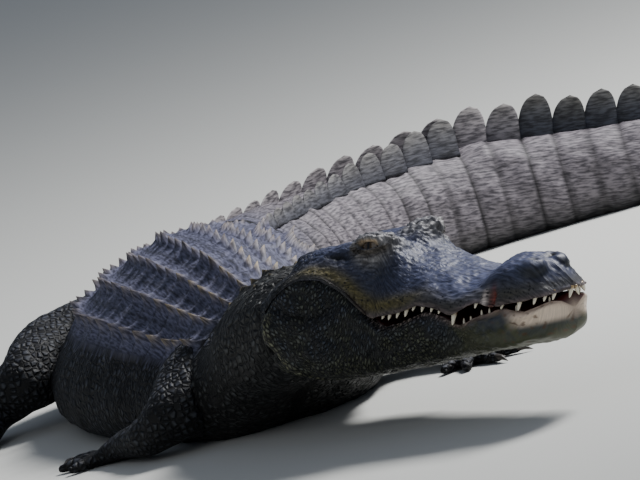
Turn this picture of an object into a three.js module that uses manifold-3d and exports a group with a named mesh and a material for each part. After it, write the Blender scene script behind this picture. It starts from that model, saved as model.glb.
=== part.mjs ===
// American alligator at rest, life size, as a still display model.
// Millimetres, +Z up. +X runs to the viewer's right and +Y away from the viewer. The animal faces the viewer.
// The origin is on the belly's flat, under the middle of the trunk. The floor is z = 0.
//
// Every piece is placed in body coordinates: a station along the midline, counted back from the tip of
// the snout, a distance to the animal's left of the midline, and a height.

import * as THREE from "three";
import { mergeVertices } from "three/addons/utils/BufferGeometryUtils.js";
import Module from "manifold-3d";

const wasm = await Module();
wasm.setup();

// Driving sizes
const SKULL = 420; // tip of the snout to the jaw joint
const TAIL_TIP = 2570; // station of the end of the tail
const ORIGIN_STATION = 950; // middle of the trunk
const NECK_START = 418;
const TORSO_START = 610;
const TORSO_MIDDLE = 925.5; // between two rows of scutes
const TAIL_START = 1291;
const TAIL_SECOND = 1690;
const TAIL_THIRD = 2080;
const GAP = 0.35; // air between two neighbouring pieces
const FLOOR_CUT = -10; // the belly's round underside would reach this height, so the floor flattens it
const SPINE_STEP = 5;

// Stance: heading of the midline at each station, in degrees from +X towards the viewer
const HEADINGS = [
  [0, 49], [420, 49.5], [500, 68], [600, 77], [700, 77], [800, 74.5], [950, 79], [1100, 94], [1225, 108],
  [1320, 112], [1500, 121], [1650, 146], [1780, 171], [1900, 180], [2200, 184], [2570, 188],
];
const LIFT = [[0, 92], [420, 79], [490, 61], [570, 23], [640, 0], [2570, 0]]; // of a section off the floor
const HEAD_ROLL = [[0, -4.5], [420, -4.5], [600, 0], [2570, 0]]; // degrees, left side up
const ROLL_HEIGHT = 60;

// Smooth curve through a short table of [place, value] pairs.
function smooth(table, x) {
  const last = table.length - 1;
  if (x <= table[0][0]) return table[0][1];
  if (x >= table[last][0]) return table[last][1];
  let i = 0;
  while (x > table[i + 1][0]) i += 1;
  const slope = (j) => (table[j + 1][1] - table[j][1]) / (table[j + 1][0] - table[j][0]);
  const tangent = (j) => {
    if (j === 0) return slope(0);
    if (j === last) return slope(last - 1);
    const before = slope(j - 1);
    const after = slope(j);
    return before * after <= 0 ? 0 : (2 * before * after) / (before + after);
  };
  const width = table[i + 1][0] - table[i][0];
  const u = (x - table[i][0]) / width;
  const a = (1 + 2 * u) * (1 - u) ** 2;
  const b = u * (1 - u) ** 2;
  const c = u * u * (3 - 2 * u);
  const d = u * u * (u - 1);
  return a * table[i][1] + b * width * tangent(i) + c * table[i + 1][1] + d * width * tangent(i + 1);
}

function straight(table, x) {
  let i = 0;
  while (i < table.length - 2 && x > table[i + 1][0]) i += 1;
  const u = (x - table[i][0]) / (table[i + 1][0] - table[i][0]);
  return table[i][1] + Math.min(Math.max(u, 0), 1) * (table[i + 1][1] - table[i][1]);
}

// The midline, worked out by adding up short steps along its heading.
const spine = [];
for (let s = 0, x = 0, y = 0; s <= TAIL_TIP + SPINE_STEP; s += SPINE_STEP) {
  spine.push([x, y]);
  const heading = THREE.MathUtils.degToRad(straight(HEADINGS, s + SPINE_STEP / 2));
  x -= Math.cos(heading) * SPINE_STEP;
  y += Math.sin(heading) * SPINE_STEP;
}
const spineOrigin = spine[ORIGIN_STATION / SPINE_STEP];

// A point in body coordinates, in the part's frame.
function place(s, left, height) {
  const i = Math.min(Math.max(Math.floor(s / SPINE_STEP), 0), spine.length - 2);
  const u = s / SPINE_STEP - i;
  const x = spine[i][0] + u * (spine[i + 1][0] - spine[i][0]) - spineOrigin[0];
  const y = spine[i][1] + u * (spine[i + 1][1] - spine[i][1]) - spineOrigin[1];
  const heading = THREE.MathUtils.degToRad(straight(HEADINGS, s));
  const roll = THREE.MathUtils.degToRad(smooth(HEAD_ROLL, s));
  const up = height - ROLL_HEIGHT;
  const side = left * Math.cos(roll) - up * Math.sin(roll);
  const z = smooth(LIFT, s) + ROLL_HEIGHT + left * Math.sin(roll) + up * Math.cos(roll);
  return new THREE.Vector3(x + side * Math.sin(heading), y + side * Math.cos(heading), z);
}

// Neck, trunk and tail sections: half width, back, widest line and belly at each station
const HALF_WIDTH = [
  [400, 104], [470, 97], [560, 103], [640, 124], [720, 146], [800, 166], [900, 184], [1000, 190],
  [1100, 178], [1225, 142], [1320, 110], [1500, 82], [1700, 64], [1950, 45], [2200, 27], [2450, 12],
  [2570, 3.5],
];
const BACK = [
  [400, 116], [470, 122], [560, 142], [640, 164], [720, 178], [800, 191], [900, 198], [1000, 192],
  [1100, 182], [1225, 166], [1320, 158], [1500, 144], [1700, 135], [1950, 106], [2200, 74], [2450, 36],
  [2570, 10],
];
const WIDEST = [
  [400, 52], [560, 52], [800, 46], [1225, 50], [1500, 50], [1950, 42], [2200, 30], [2450, 15], [2570, 5],
];
const BELLY = [[400, -16], [560, -8], [700, FLOOR_CUT], [1950, FLOOR_CUT], [2450, -3], [2570, -1]];
const BACK_POWER = [ // over 1 slopes the flanks more than an ellipse does, and under 1 less
  [400, 0.8], [480, 0.95], [560, 1.25], [640, 1.55], [700, 1.5], [800, 1.4], [900, 1.32], [1000, 1.3],
  [1225, 1.12], [1400, 1], [1700, 0.95], [2570, 0.9],
];
const BELLY_POWER = 0.62;

const signedPower = (value, power) => Math.sign(value) * Math.abs(value) ** power;

// A closed section: turn 0 is the top of the back, 0.25 the left side, 0.5 the belly, 0.75 the right.
function bodySection(s, turn, grow = 0) {
  const angle = turn * 2 * Math.PI;
  const power = Math.cos(angle) > 0 ? smooth(BACK_POWER, s) : BELLY_POWER;
  const middle = smooth(WIDEST, s);
  const end = Math.cos(angle) > 0 ? smooth(BACK, s) + grow - middle : middle + grow - smooth(BELLY, s);
  return [
    (smooth(HALF_WIDTH, s) + grow) * signedPower(Math.sin(angle), power),
    middle + end * signedPower(Math.cos(angle), power),
  ];
}

// Head sections in shares of the skull, at stations counted back from the snout's tip.
// Each line of the head has its distance from the midline and its height.
const TOP_HEIGHT = [
  [0, 0.11], [0.03, 0.142], [0.07, 0.172], [0.12, 0.196], [0.17, 0.207], [0.21, 0.2], [0.28, 0.17],
  [0.36, 0.182], [0.45, 0.212], [0.55, 0.25], [0.62, 0.282], [0.7, 0.29], [0.87, 0.298], [0.92, 0.28],
  [1, 0.262],
];
const RIDGE_OUT = [
  [0, 0.01], [0.05, 0.048], [0.12, 0.07], [0.2, 0.076], [0.45, 0.088], [0.61, 0.085], [0.7, 0.1],
  [0.87, 0.136], [1, 0.12],
];
const RIDGE_HEIGHT = [
  [0, 0.1], [0.05, 0.132], [0.1, 0.162], [0.16, 0.182], [0.2, 0.178], [0.28, 0.15], [0.4, 0.184],
  [0.5, 0.218], [0.56, 0.256], [0.61, 0.315], [0.66, 0.322], [0.72, 0.31], [0.87, 0.306], [0.91, 0.27],
  [1, 0.25],
];
const CHEEK_OUT = [
  [0, 0.02], [0.05, 0.074], [0.12, 0.106], [0.2, 0.112], [0.311, 0.15], [0.45, 0.152], [0.58, 0.145],
  [0.64, 0.15], [0.7, 0.16], [0.8, 0.185], [0.87, 0.2], [0.93, 0.225], [1, 0.225],
];
const CHEEK_HEIGHT = [
  [0, 0.095], [0.05, 0.108], [0.1, 0.124], [0.2, 0.136], [0.3, 0.128], [0.42, 0.15], [0.5, 0.168],
  [0.58, 0.2], [0.64, 0.232], [0.7, 0.255], [0.8, 0.272], [0.87, 0.262], [0.93, 0.235], [1, 0.2],
];
const LIP_OUT = [
  [0, 0.01], [0.012, 0.044], [0.04, 0.08], [0.1, 0.12], [0.188, 0.134], [0.311, 0.172], [0.42, 0.172],
  [0.55, 0.2], [0.66, 0.21], [0.8, 0.228], [0.93, 0.25], [1, 0.25],
];
const LIP_HEIGHT = [
  [0, 0.09], [0.1, 0.088], [0.187, 0.087], [0.234, 0.105], [0.306, 0.087], [0.38, 0.111], [0.436, 0.122],
  [0.51, 0.112], [0.58, 0.112], [0.61, 0.122], [0.651, 0.16], [0.679, 0.19], [0.71, 0.213], [0.759, 0.238],
  [0.812, 0.244], [0.86, 0.236], [0.93, 0.2], [1, 0.15],
];
const MOUTH_OPEN = [ // between the upper lip and the lower one
  [0, 0.03], [0.04, 0.019], [0.1, 0.03], [0.187, 0.012], [0.234, 0.034], [0.306, 0.032], [0.4, 0.024],
  [0.46, 0.024], [0.56, 0.03], [0.6, 0.016], [0.63, 0], [1, 0],
];
const JAW_OUT = [
  [0, 0.005], [0.02, 0.042], [0.06, 0.078], [0.15, 0.102], [0.3, 0.13], [0.5, 0.168], [0.7, 0.205],
  [0.85, 0.24], [0.96, 0.262], [1, 0.26],
];
const JAW_HEIGHT = [[0, 0.055], [0.1, 0.02], [0.5, 0.03], [0.7, 0.06], [0.85, 0.1], [1, 0.1]];
const CHIN_OUT = [[0, 0.004], [0.03, 0.045], [0.1, 0.08], [0.3, 0.108], [0.6, 0.15], [0.88, 0.2], [1, 0.185]];
const CHIN_HEIGHT = [
  [0, 0.04], [0.03, 0], [0.1, -0.022], [0.3, -0.026], [0.6, -0.032], [0.8, -0.028], [0.9, -0.01], [1, 0],
];
const THROAT_HEIGHT = [
  [0, 0.04], [0.03, -0.02], [0.08, -0.038], [0.24, -0.042], [0.45, -0.046], [0.63, -0.058], [0.79, -0.062],
  [0.9, -0.05], [1, -0.038],
];

// A smooth curve through a few [out, height] points, at a share of the way along it.
function throughPoints(points, share) {
  const spans = points.length - 1;
  const i = Math.min(Math.floor(share * spans), spans - 1);
  const u = share * spans - i;
  const before = points[Math.max(i - 1, 0)];
  const after = points[Math.min(i + 2, spans)];
  return [0, 1].map((k) => {
    const m0 = (points[i + 1][k] - before[k]) / 2;
    const m1 = (after[k] - points[i][k]) / 2;
    const hermite = (1 + 2 * u) * (1 - u) ** 2 * points[i][k] + u * u * (3 - 2 * u) * points[i + 1][k];
    return hermite + u * (1 - u) ** 2 * m0 + u * u * (u - 1) * m1;
  });
}

// The head's closed section, with the same turns as the body's: 0.25 and 0.75 are the lips.
function headSection(s, turn) {
  const x = s / SKULL;
  const half = turn <= 0.5 ? turn : 1 - turn;
  const lip = [smooth(LIP_OUT, x), smooth(LIP_HEIGHT, x)];
  const upper = [
    [0, smooth(TOP_HEIGHT, x)],
    [smooth(RIDGE_OUT, x), smooth(RIDGE_HEIGHT, x)],
    [smooth(CHEEK_OUT, x), smooth(CHEEK_HEIGHT, x)],
    lip,
  ];
  const lower = [
    [lip[0], lip[1] - smooth(MOUTH_OPEN, x)],
    [smooth(JAW_OUT, x), smooth(JAW_HEIGHT, x)],
    [smooth(CHIN_OUT, x), smooth(CHIN_HEIGHT, x)],
    [0, smooth(THROAT_HEIGHT, x)],
  ];
  const [out, height] = half <= 0.25 ? throughPoints(upper, half * 4) : throughPoints(lower, half * 4 - 1);
  return [(turn <= 0.5 ? 1 : -1) * out * SKULL, height * SKULL];
}

const HEAD_BLEND_START = 398;
const HEAD_BLEND_END = 470;

// The skin of the whole animal without its legs: the head's section runs into the neck's.
function skinSection(s, turn, grow = 0) {
  if (s >= HEAD_BLEND_END) return bodySection(s, turn, grow);
  const head = headSection(Math.min(s, SKULL), turn);
  if (s <= HEAD_BLEND_START) return head;
  const body = bodySection(s, turn, grow);
  const share = THREE.MathUtils.smoothstep(s, HEAD_BLEND_START, HEAD_BLEND_END);
  return [head[0] + share * (body[0] - head[0]), head[1] + share * (body[1] - head[1])];
}

// Solids

// A closed mesh becomes a solid, turned so that its faces point outwards.
function solidOf(positions, triangles) {
  const geometry = new THREE.BufferGeometry();
  geometry.setAttribute("position", new THREE.Float32BufferAttribute(positions, 3));
  geometry.setIndex(triangles);
  const merged = mergeVertices(geometry, 1e-4);
  const at = (i) => new THREE.Vector3().fromBufferAttribute(merged.attributes.position, i);
  const index = Array.from(merged.index.array);
  let volume = 0;
  for (let i = 0; i < index.length; i += 3) {
    volume += at(index[i]).dot(at(index[i + 1]).cross(at(index[i + 2])));
  }
  if (volume < 0) {
    for (let i = 0; i < index.length; i += 3) {
      [index[i + 1], index[i + 2]] = [index[i + 2], index[i + 1]];
    }
  }
  const kept = [];
  for (let i = 0; i < index.length; i += 3) {
    const [a, b, c] = index.slice(i, i + 3);
    if (a !== b && b !== c && c !== a) kept.push(a, b, c);
  }
  return new wasm.Manifold(
    new wasm.Mesh({
      numProp: 3,
      vertProperties: new Float32Array(merged.attributes.position.array),
      triVerts: new Uint32Array(kept),
    }),
  );
}

// Rings of equal length joined into a skin, with each end closed by a fan round its middle.
function loft(rings) {
  const count = rings[0].length;
  const positions = rings.flat().flatMap((p) => [p.x, p.y, p.z]);
  const triangles = [];
  for (let r = 0; r + 1 < rings.length; r += 1) {
    for (let i = 0; i < count; i += 1) {
      const j = (i + 1) % count;
      const [a, b, c, d] = [r * count + i, r * count + j, (r + 1) * count + i, (r + 1) * count + j];
      triangles.push(a, b, d, a, d, c);
    }
  }
  [0, rings.length - 1].forEach((r, end) => {
    const middle = new THREE.Vector3();
    rings[r].forEach((p) => middle.addScaledVector(p, 1 / count));
    const centre = positions.length / 3;
    positions.push(middle.x, middle.y, middle.z);
    for (let i = 0; i < count; i += 1) {
      const j = (i + 1) % count;
      if (end) triangles.push(centre, r * count + i, r * count + j);
      else triangles.push(centre, r * count + j, r * count + i);
    }
  });
  return solidOf(positions, triangles);
}

// Only the largest closed surface of a solid is kept.
function largest(solid) {
  return solid.decompose().sort((a, b) => b.volume() - a.volume())[0];
}

function joined(pieces) {
  return pieces.reduce((whole, piece) => whole.add(piece));
}

const restsOnFloor = (solid) => solid.trimByPlane([0, 0, 1], 0);

// Stations from start to end, as evenly spaced as a given spacing allows.
function stations(start, end, spacing) {
  const count = Math.max(1, Math.round((end - start) / spacing));
  return Array.from({ length: count + 1 }, (_, i) => start + ((end - start) * i) / count);
}

function bodyLength(start, end, spacing, around, grow = 0) {
  return loft(
    stations(start, end, spacing).map((s) =>
      Array.from({ length: around }, (_, i) => place(s, ...skinSection(s, i / around, grow))),
    ),
  );
}

// Point, outward direction and backward direction of the skin at a station and turn. Pieces inside the
// body's bend are shorter by stretch, and those outside it longer.
function skinFrame(s, turn) {
  const small = 0.004;
  const at = (t) => place(s, ...skinSection(s, (t + 1) % 1));
  const here = at(turn);
  const round = at(turn + small).sub(at(turn - small));
  const back = place(s + 3, ...skinSection(s + 3, turn)).sub(place(s - 3, ...skinSection(s - 3, turn)));
  const stretch = back.length() / 6;
  back.normalize();
  const out = new THREE.Vector3().crossVectors(back, round).normalize();
  return { here, out, back, across: new THREE.Vector3().crossVectors(out, back).normalize(), stretch };
}

// The turn at which the back's skin is this far to the left of the midline.
function turnAt(s, left) {
  const share = Math.min(Math.abs(left) / smooth(HALF_WIDTH, s), 0.98);
  const turn = Math.asin(share ** (1 / smooth(BACK_POWER, s))) / (2 * Math.PI);
  return left >= 0 ? turn : 1 - turn;
}

// Seeded draw between -1 and 1.
let seed = 20250;
function draw() {
  seed = (seed * 1103515245 + 12345) % 2147483648;
  return (seed / 2147483648) * 2 - 1;
}

// Keeled scute: a plate with a ridge that climbs towards its rear, its root sunk in the skin.
const SCUTE_ROOT = 4;
function keeledScute(s, left, length, width, keel) {
  const { here, out, back, across, stretch } = skinFrame(s, turnAt(s, left));
  const point = (along, over, height) =>
    here.clone().addScaledVector(back, along * length * stretch).addScaledVector(across, over * width)
      .addScaledVector(out, height);
  const corners = [[-0.5, -0.44], [-0.5, 0.44], [0.5, 0.52], [0.5, -0.52]];
  const points = [
    ...corners.map(([along, over]) => point(along, over, -SCUTE_ROOT)),
    point(-0.4, 0, keel * 0.45),
    point(0.34, 0, keel),
  ];
  const [low, high] = [corners.length, corners.length + 1];
  const foot = [2, 1, 0, 3, 2, 0];
  const sides = [0, 1, low, 1, 2, high, 1, high, low, 2, 3, high, 3, 0, low, 3, low, high];
  return solidOf(points.flatMap((p) => [p.x, p.y, p.z]), [...foot, ...sides]);
}

// Crest scale of the tail: an upright blade that leans back, thick at its root.
const CREST_ROOT = 9;
function crestBlade(s, left, length, height, thickness) {
  const { here, out, back, stretch } = skinFrame(s, turnAt(s, left));
  const up = out.clone().lerp(new THREE.Vector3(0, 0, 1), 0.75).normalize();
  const across = new THREE.Vector3().crossVectors(up, back).normalize();
  const outline = [[-0.5, 0, 1], [-0.34, 0.62, 0.6], [0.06, 1, 0.4], [0.4, 0.88, 0.4], [0.5, 0, 1]];
  const sides = [-1, 1].map((side) =>
    outline.map(([along, rise, thick]) =>
      here.clone().addScaledVector(back, along * length * stretch)
        .addScaledVector(up, rise === 0 ? -CREST_ROOT : rise * height)
        .addScaledVector(across, (side * thick * thickness) / 2),
    ),
  );
  return loft(sides);
}

// A tapering limb, digit, tooth or slit: oval rings carried along a list of points.
// Each stop is a point, a half width and a half height.
function ringsAlong(stops, around) {
  return stops.map(({ at, wide, high }, i) => {
    const before = stops[Math.max(i - 1, 0)].at;
    const after = stops[Math.min(i + 1, stops.length - 1)].at;
    const along = after.clone().sub(before).normalize();
    const side = new THREE.Vector3().crossVectors(along, new THREE.Vector3(0, 0, 1)).normalize();
    const up = new THREE.Vector3().crossVectors(side, along);
    return Array.from({ length: around }, (_, k) => {
      const angle = (k * 2 * Math.PI) / around;
      return at.clone()
        .addScaledVector(side, Math.cos(angle) * wide)
        .addScaledVector(up, Math.sin(angle) * high);
    });
  });
}

const tube = (stops, around) => loft(ringsAlong(stops, around));

// Smooth stops between hand-set ones, given as [station, left, height, half width, half height].
function limbStops(rows, side, steps) {
  return Array.from({ length: steps + 1 }, (_, i) => {
    const share = i / steps;
    const value = (column) => smooth(rows.map((row, j) => [j / (rows.length - 1), row[column]]), share);
    return { at: place(value(0), side * value(1), value(2)), wide: value(3), high: value(4) };
  });
}

function ball(centre, sizes, across = 12, tall = 8) {
  const sphere = new THREE.SphereGeometry(1, across, tall);
  sphere.deleteAttribute("normal");
  sphere.deleteAttribute("uv");
  sphere.scale(...sizes);
  sphere.rotateZ(THREE.MathUtils.degToRad(90 - HEADINGS[0][1]));
  sphere.translate(centre.x, centre.y, centre.z);
  return solidOf(Array.from(sphere.attributes.position.array), Array.from(sphere.index.array));
}

// Head: skull, upper jaw with its teeth, brows, lids, nostrils and ear slits
const HEAD_RINGS = 27;
const HEAD_AROUND = 20;
const JAW_AROUND = 14;
const PALATE_POINTS = 1;
const JAW_INSET = 9; // the upper lip stands this far outside the lower one
const INSET_FADE = [262, 350]; // behind the corner of the mouth the two lips come together
const NOSTRIL = { station: 40, left: 14, height: 80, sizes: [5, 6.5, 7] };
const NOSE_PAD = { station: 48, left: 15.5, height: 64, sizes: [18, 24, 17] };
const EYE = { station: 270, left: 36, height: 119, radius: 16.5 };
const LID = { half: 19, opening: 11.5, thickness: 4.8, reach: 13.5 };
const EAR = { from: 292, to: 360, out: 0.15, height: 0.28, radius: 3.2 };
const TOOTH_FIRST = 12;
const TOOTH_LAST = 250;
const TOOTH_COUNT = 13;
const TOOTH_LENGTHS = [[0, 7], [0.16, 10], [0.3, 6], [0.5, 16], [0.62, 7], [0.8, 9], [1, 5]];
const LOWER_TEETH = [[18, 8], [44, 7], [86, 7], [110, 7], [132, 7], [176, 5]]; // station and length

const headStations = Array.from(
  { length: HEAD_RINGS + 1 },
  (_, i) => (NECK_START - GAP) * (i / HEAD_RINGS) ** 1.5,
);

// The mouth's roof or floor, straight across between the lips.
function mouthPoints(s, inset, lift) {
  const [left, right] = [skinSection(s, 0.25), skinSection(s, 0.75)];
  const [fadeFrom, fadeTo] = INSET_FADE;
  const inMouth = THREE.MathUtils.smoothstep(s, 0, 20) - THREE.MathUtils.smoothstep(s, fadeFrom, fadeTo);
  const pull = inset * inMouth;
  return Array.from({ length: PALATE_POINTS + 2 }, (_, i) => {
    const share = i / (PALATE_POINTS + 1);
    const out = (left[0] - pull) * (1 - share) + (right[0] + pull) * share;
    return place(s, out, left[1] * (1 - share) + right[1] * share + lift);
  });
}

const mouthOpen = (s) => smooth(MOUTH_OPEN, s / SKULL) * SKULL;

function upperHead() {
  return loft(
    headStations.map((s) => {
      const over = Array.from({ length: HEAD_AROUND - 1 }, (_, i) =>
        place(s, ...skinSection(s, (0.75 + (0.5 * (i + 1)) / HEAD_AROUND) % 1)),
      );
      return [...over, ...mouthPoints(s, 0, GAP / 2)];
    }),
  );
}

const bothSides = (make) => [1, -1].map(make);

const teeth = bothSides((side) =>
  Array.from({ length: TOOTH_COUNT }, (_, i) => {
    const share = i / (TOOTH_COUNT - 1);
    const s = TOOTH_FIRST + (TOOTH_LAST - TOOTH_FIRST) * share ** 1.05;
    return { side, s, length: smooth(TOOTH_LENGTHS, share) * (1 + 0.15 * draw()) };
  }),
).flat();

// A tooth is a cone from its root in the lip to its tip, given as distances in from the lip and down.
function tooth(side, s, [rootIn, rootDrop], [tipIn, tipDrop], thick) {
  const [out, height] = skinSection(s, 0.25);
  const at = (inward, drop) => place(s, side * (out - inward), height - drop);
  return tube(
    [
      { at: at(rootIn, rootDrop), wide: thick, high: thick },
      { at: at(tipIn, tipDrop), wide: 0.5, high: 0.5 },
    ],
    5,
  );
}

// The upper teeth stand outside the lower jaw.
function upperTeeth() {
  return teeth.map(({ side, s, length }) => {
    const thick = 1.6 + length * 0.14;
    return tooth(side, s, [thick + 1, -6], [0, length], thick);
  });
}

// The lower teeth stand in the open mouth, clear of the roof.
function lowerTeeth() {
  return bothSides((side) =>
    LOWER_TEETH.map(([s, length]) => {
      const lip = mouthOpen(s);
      const inward = JAW_INSET + 5;
      return tooth(side, s, [inward, lip + 7], [inward, Math.max(lip - length, 1.5)], 2.4);
    }),
  ).flat();
}

function lowerJaw() {
  const bone = loft(
    headStations.slice(2).map((s) => {
      const under = Array.from({ length: JAW_AROUND - 1 }, (_, i) =>
        place(s, ...skinSection(s, 0.25 + (0.5 * (i + 1)) / JAW_AROUND)),
      );
      return [...under, ...mouthPoints(s, JAW_INSET, -mouthOpen(s) - GAP / 2).reverse()];
    }),
  );
  return largest(joined([bone, ...lowerTeeth()]));
}

function eyeCentre(side) {
  return place(EYE.station, side * EYE.left, EYE.height);
}

// Oval ring of the two lids, standing on the brow round the eyeball.
function lids(side) {
  const around = 14;
  const centre = eyeCentre(side);
  const out = place(EYE.station - 2, side * (EYE.left + 10), EYE.height + 4).sub(centre).normalize();
  const along = place(EYE.station + 10, side * EYE.left, EYE.height).sub(centre).normalize();
  const up = new THREE.Vector3().crossVectors(out, along).normalize();
  const ring = Array.from({ length: around }, (_, i) => {
    const angle = (i * 2 * Math.PI) / around;
    const middle = centre.clone().addScaledVector(out, LID.reach - 3 * Math.abs(Math.cos(angle)))
      .addScaledVector(along, Math.cos(angle) * LID.half).addScaledVector(up, Math.sin(angle) * LID.opening);
    const away = new THREE.Vector3()
      .addScaledVector(along, Math.cos(angle))
      .addScaledVector(up, Math.sin(angle));
    return Array.from({ length: 5 }, (_, k) => {
      const turn = (k * 2 * Math.PI) / 5;
      return middle.clone().addScaledVector(out, Math.cos(turn) * LID.thickness)
        .addScaledVector(away, Math.sin(turn) * LID.thickness);
    });
  });
  return closedLoop(ring);
}

// Rings joined end to end, so that the tube closes on itself.
function closedLoop(rings) {
  const count = rings[0].length;
  const positions = rings.flat().flatMap((p) => [p.x, p.y, p.z]);
  const triangles = [];
  rings.forEach((_, r) => {
    const next = (r + 1) % rings.length;
    for (let i = 0; i < count; i += 1) {
      const j = (i + 1) % count;
      triangles.push(r * count + i, r * count + j, next * count + j);
      triangles.push(r * count + i, next * count + j, next * count + i);
    }
  });
  return solidOf(positions, triangles);
}

function earSlit(side) {
  const stops = stations(EAR.from, EAR.to, 16).map((s, i, all) => ({
    at: place(s, side * EAR.out * SKULL, EAR.height * SKULL),
    wide: i === 0 || i === all.length - 1 ? EAR.radius * 0.4 : EAR.radius,
    high: i === 0 || i === all.length - 1 ? EAR.radius * 0.4 : EAR.radius,
  }));
  return tube(stops, 6);
}

function head() {
  const spot = ({ station, left, height, sizes }) =>
    bothSides((side) => ball(place(station, side * left, height), sizes, 8, 6));
  const raised = joined([upperHead(), ...spot(NOSE_PAD), ...bothSides(lids), ...upperTeeth()]);
  const sockets = bothSides((side) => ball(eyeCentre(side), Array(3).fill(EYE.radius + GAP), 12, 8));
  return largest(raised.subtract(joined([...sockets, ...spot(NOSTRIL), ...bothSides(earSlit)])));
}

// Neck and trunk: rows of keeled scutes over the back, the nuchal shield standing on its own ahead of them
const NECK_SPACING = 34; // from ring to ring of the skin
const TORSO_SPACING = 58;
const TORSO_AROUND = 24;
const ROW_PITCH = 35;
const TRUNK_FIRST_ROW = 628;
const TRUNK_ROWS = 19;
const SHIELD_HALF_WIDTH = [
  [600, 84], [700, 110], [800, 133], [900, 153], [1000, 165], [1100, 156], [1225, 120], [1320, 88],
];
const COLUMNS = 4; // scutes to a side in each row
const KEEL_HEIGHTS = [15, 16, 17, 19]; // from the middle outwards
const INNER_KEELS = [[950, 1], [1250, 0.45]]; // the middle two sink towards the tail
const NUCHAL_SCUTES = [
  [498, 19, 34, 30], [498, 50, 28, 26], [535, 20, 36, 32], [535, 54, 26, 24], [570, 18, 28, 28],
  [452, 22, 16, 17], [450, 44, 14, 15], [452, 64, 13, 14],
];

function keelHeight(s, column) {
  return KEEL_HEIGHTS[column] * (column < 2 ? smooth(INNER_KEELS, s) : 1);
}

const trunkRows = Array.from({ length: TRUNK_ROWS }, (_, row) => {
  const s = TRUNK_FIRST_ROW + row * ROW_PITCH;
  const half = smooth(SHIELD_HALF_WIDTH, s);
  return Array.from({ length: COLUMNS * 2 }, (_, i) => ({
    s: s + 1.5 * draw(),
    left: (half * (i + 0.5 - COLUMNS)) / COLUMNS,
    width: half / COLUMNS - 4,
    keel: keelHeight(s, i < COLUMNS ? COLUMNS - 1 - i : i - COLUMNS) * (1 + 0.12 * draw()),
  }));
}).flat();

function trunkScutes(start, end, grow = 0) {
  return trunkRows
    .filter(({ s }) => s > start && s < end)
    .map(({ s, left, width, keel }) => keeledScute(s, left, ROW_PITCH - 4 + grow, width + grow, keel + grow));
}

function nuchalScutes() {
  return NUCHAL_SCUTES.flatMap(([s, left, length, width]) =>
    bothSides((side) => keeledScute(s, side * left, length, width, length * 0.34)),
  );
}

// Tail: two rows of crest blades that close in and become one
const CREST_START = 1310;
const CREST_JOIN = 1760;
const CREST_END = 2520;
const CREST_SPACING = [[1290, 37], [1800, 42], [2200, 34], [2520, 21]];
const CREST_HEIGHT = [
  [1290, 13], [1500, 22], [1650, 36], [1780, 50], [1950, 46], [2200, 34], [2400, 20], [2520, 8],
];
const CREST_OUT = [[1290, 58], [1500, 40], [1700, 24], [1760, 14]];

const crestStations = [];
for (let s = CREST_START; s < CREST_END; s += straight(CREST_SPACING, s)) crestStations.push(s);

// The tail is parted between two whorls of scales, at the one nearest a station.
function whorlEdge(near) {
  const i = crestStations.findIndex((s) => s > near);
  return (crestStations[i - 1] + crestStations[i]) / 2;
}

function crest(start, end) {
  return crestStations
    .filter((s) => s > start && s < end)
    .flatMap((s) => {
      const length = straight(CREST_SPACING, s) * 0.94;
      const height = smooth(CREST_HEIGHT, s);
      if (s > CREST_JOIN) return [crestBlade(s, 0, length, height, 9)];
      return bothSides((side) => crestBlade(s, side * smooth(CREST_OUT, s), length, height, 8));
    });
}

function trunkPiece(start, end, spacing, around, pieces) {
  const core = bodyLength(start + GAP / 2, end - GAP / 2, spacing, around);
  return largest(restsOnFloor(joined([core, ...pieces])));
}

// Legs: each is one limb, parted at the wrist or ankle
// The right hind leg stands up at the knee, and the left one is tucked low against the tail's root.
const FRONT_RIGHT = [
  [650, 60, 74, 42, 44], [640, 104, 66, 38, 40], [612, 136, 44, 32, 32], [630, 162, 30, 27, 24],
  [690, 184, 20, 22, 16], [722, 198, 11, 26, 11],
];
const FRONT_LEFT = [
  [650, 60, 70, 42, 44], [672, 112, 70, 38, 40], [716, 160, 56, 32, 34], [690, 192, 38, 26, 26],
  [650, 206, 22, 23, 17], [624, 216, 11, 27, 11],
];
const HIND_RIGHT = [
  [1225, 50, 70, 60, 50], [1200, 120, 78, 54, 48], [1135, 184, 80, 44, 44], [1074, 222, 62, 34, 36],
  [1092, 264, 34, 26, 24], [1054, 296, 12, 34, 12],
];
const HIND_LEFT = [
  [1225, 50, 60, 56, 42], [1195, 120, 54, 52, 38], [1140, 180, 42, 42, 34], [1165, 218, 30, 34, 26],
  [1196, 236, 22, 28, 18], [1164, 262, 11, 32, 11],
];
const LIMB_CUT = 4; // stop at which a limb is parted
const DIGITS = {
  front: { count: 5, spread: [-62, 70], length: [46, 58, 62, 54, 42], thick: 8.5, claws: 3, claw: 15 },
  hind: { count: 4, spread: [-38, 48], length: [62, 84, 88, 70], thick: 10.5, claws: 3, claw: 18 },
};

// The neck and torso, a little larger all over, are cut from each leg's root.
const bodyClearance = joined([
  bodyLength(NECK_START, TORSO_START, NECK_SPACING, TORSO_AROUND, GAP * 1.5),
  bodyLength(TORSO_START, TORSO_MIDDLE, TORSO_SPACING, TORSO_AROUND, GAP * 1.5),
  bodyLength(TORSO_MIDDLE, TAIL_START, TORSO_SPACING, TORSO_AROUND, GAP * 1.5),
  ...trunkScutes(TORSO_START, TAIL_START, GAP * 2),
]);

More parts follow.
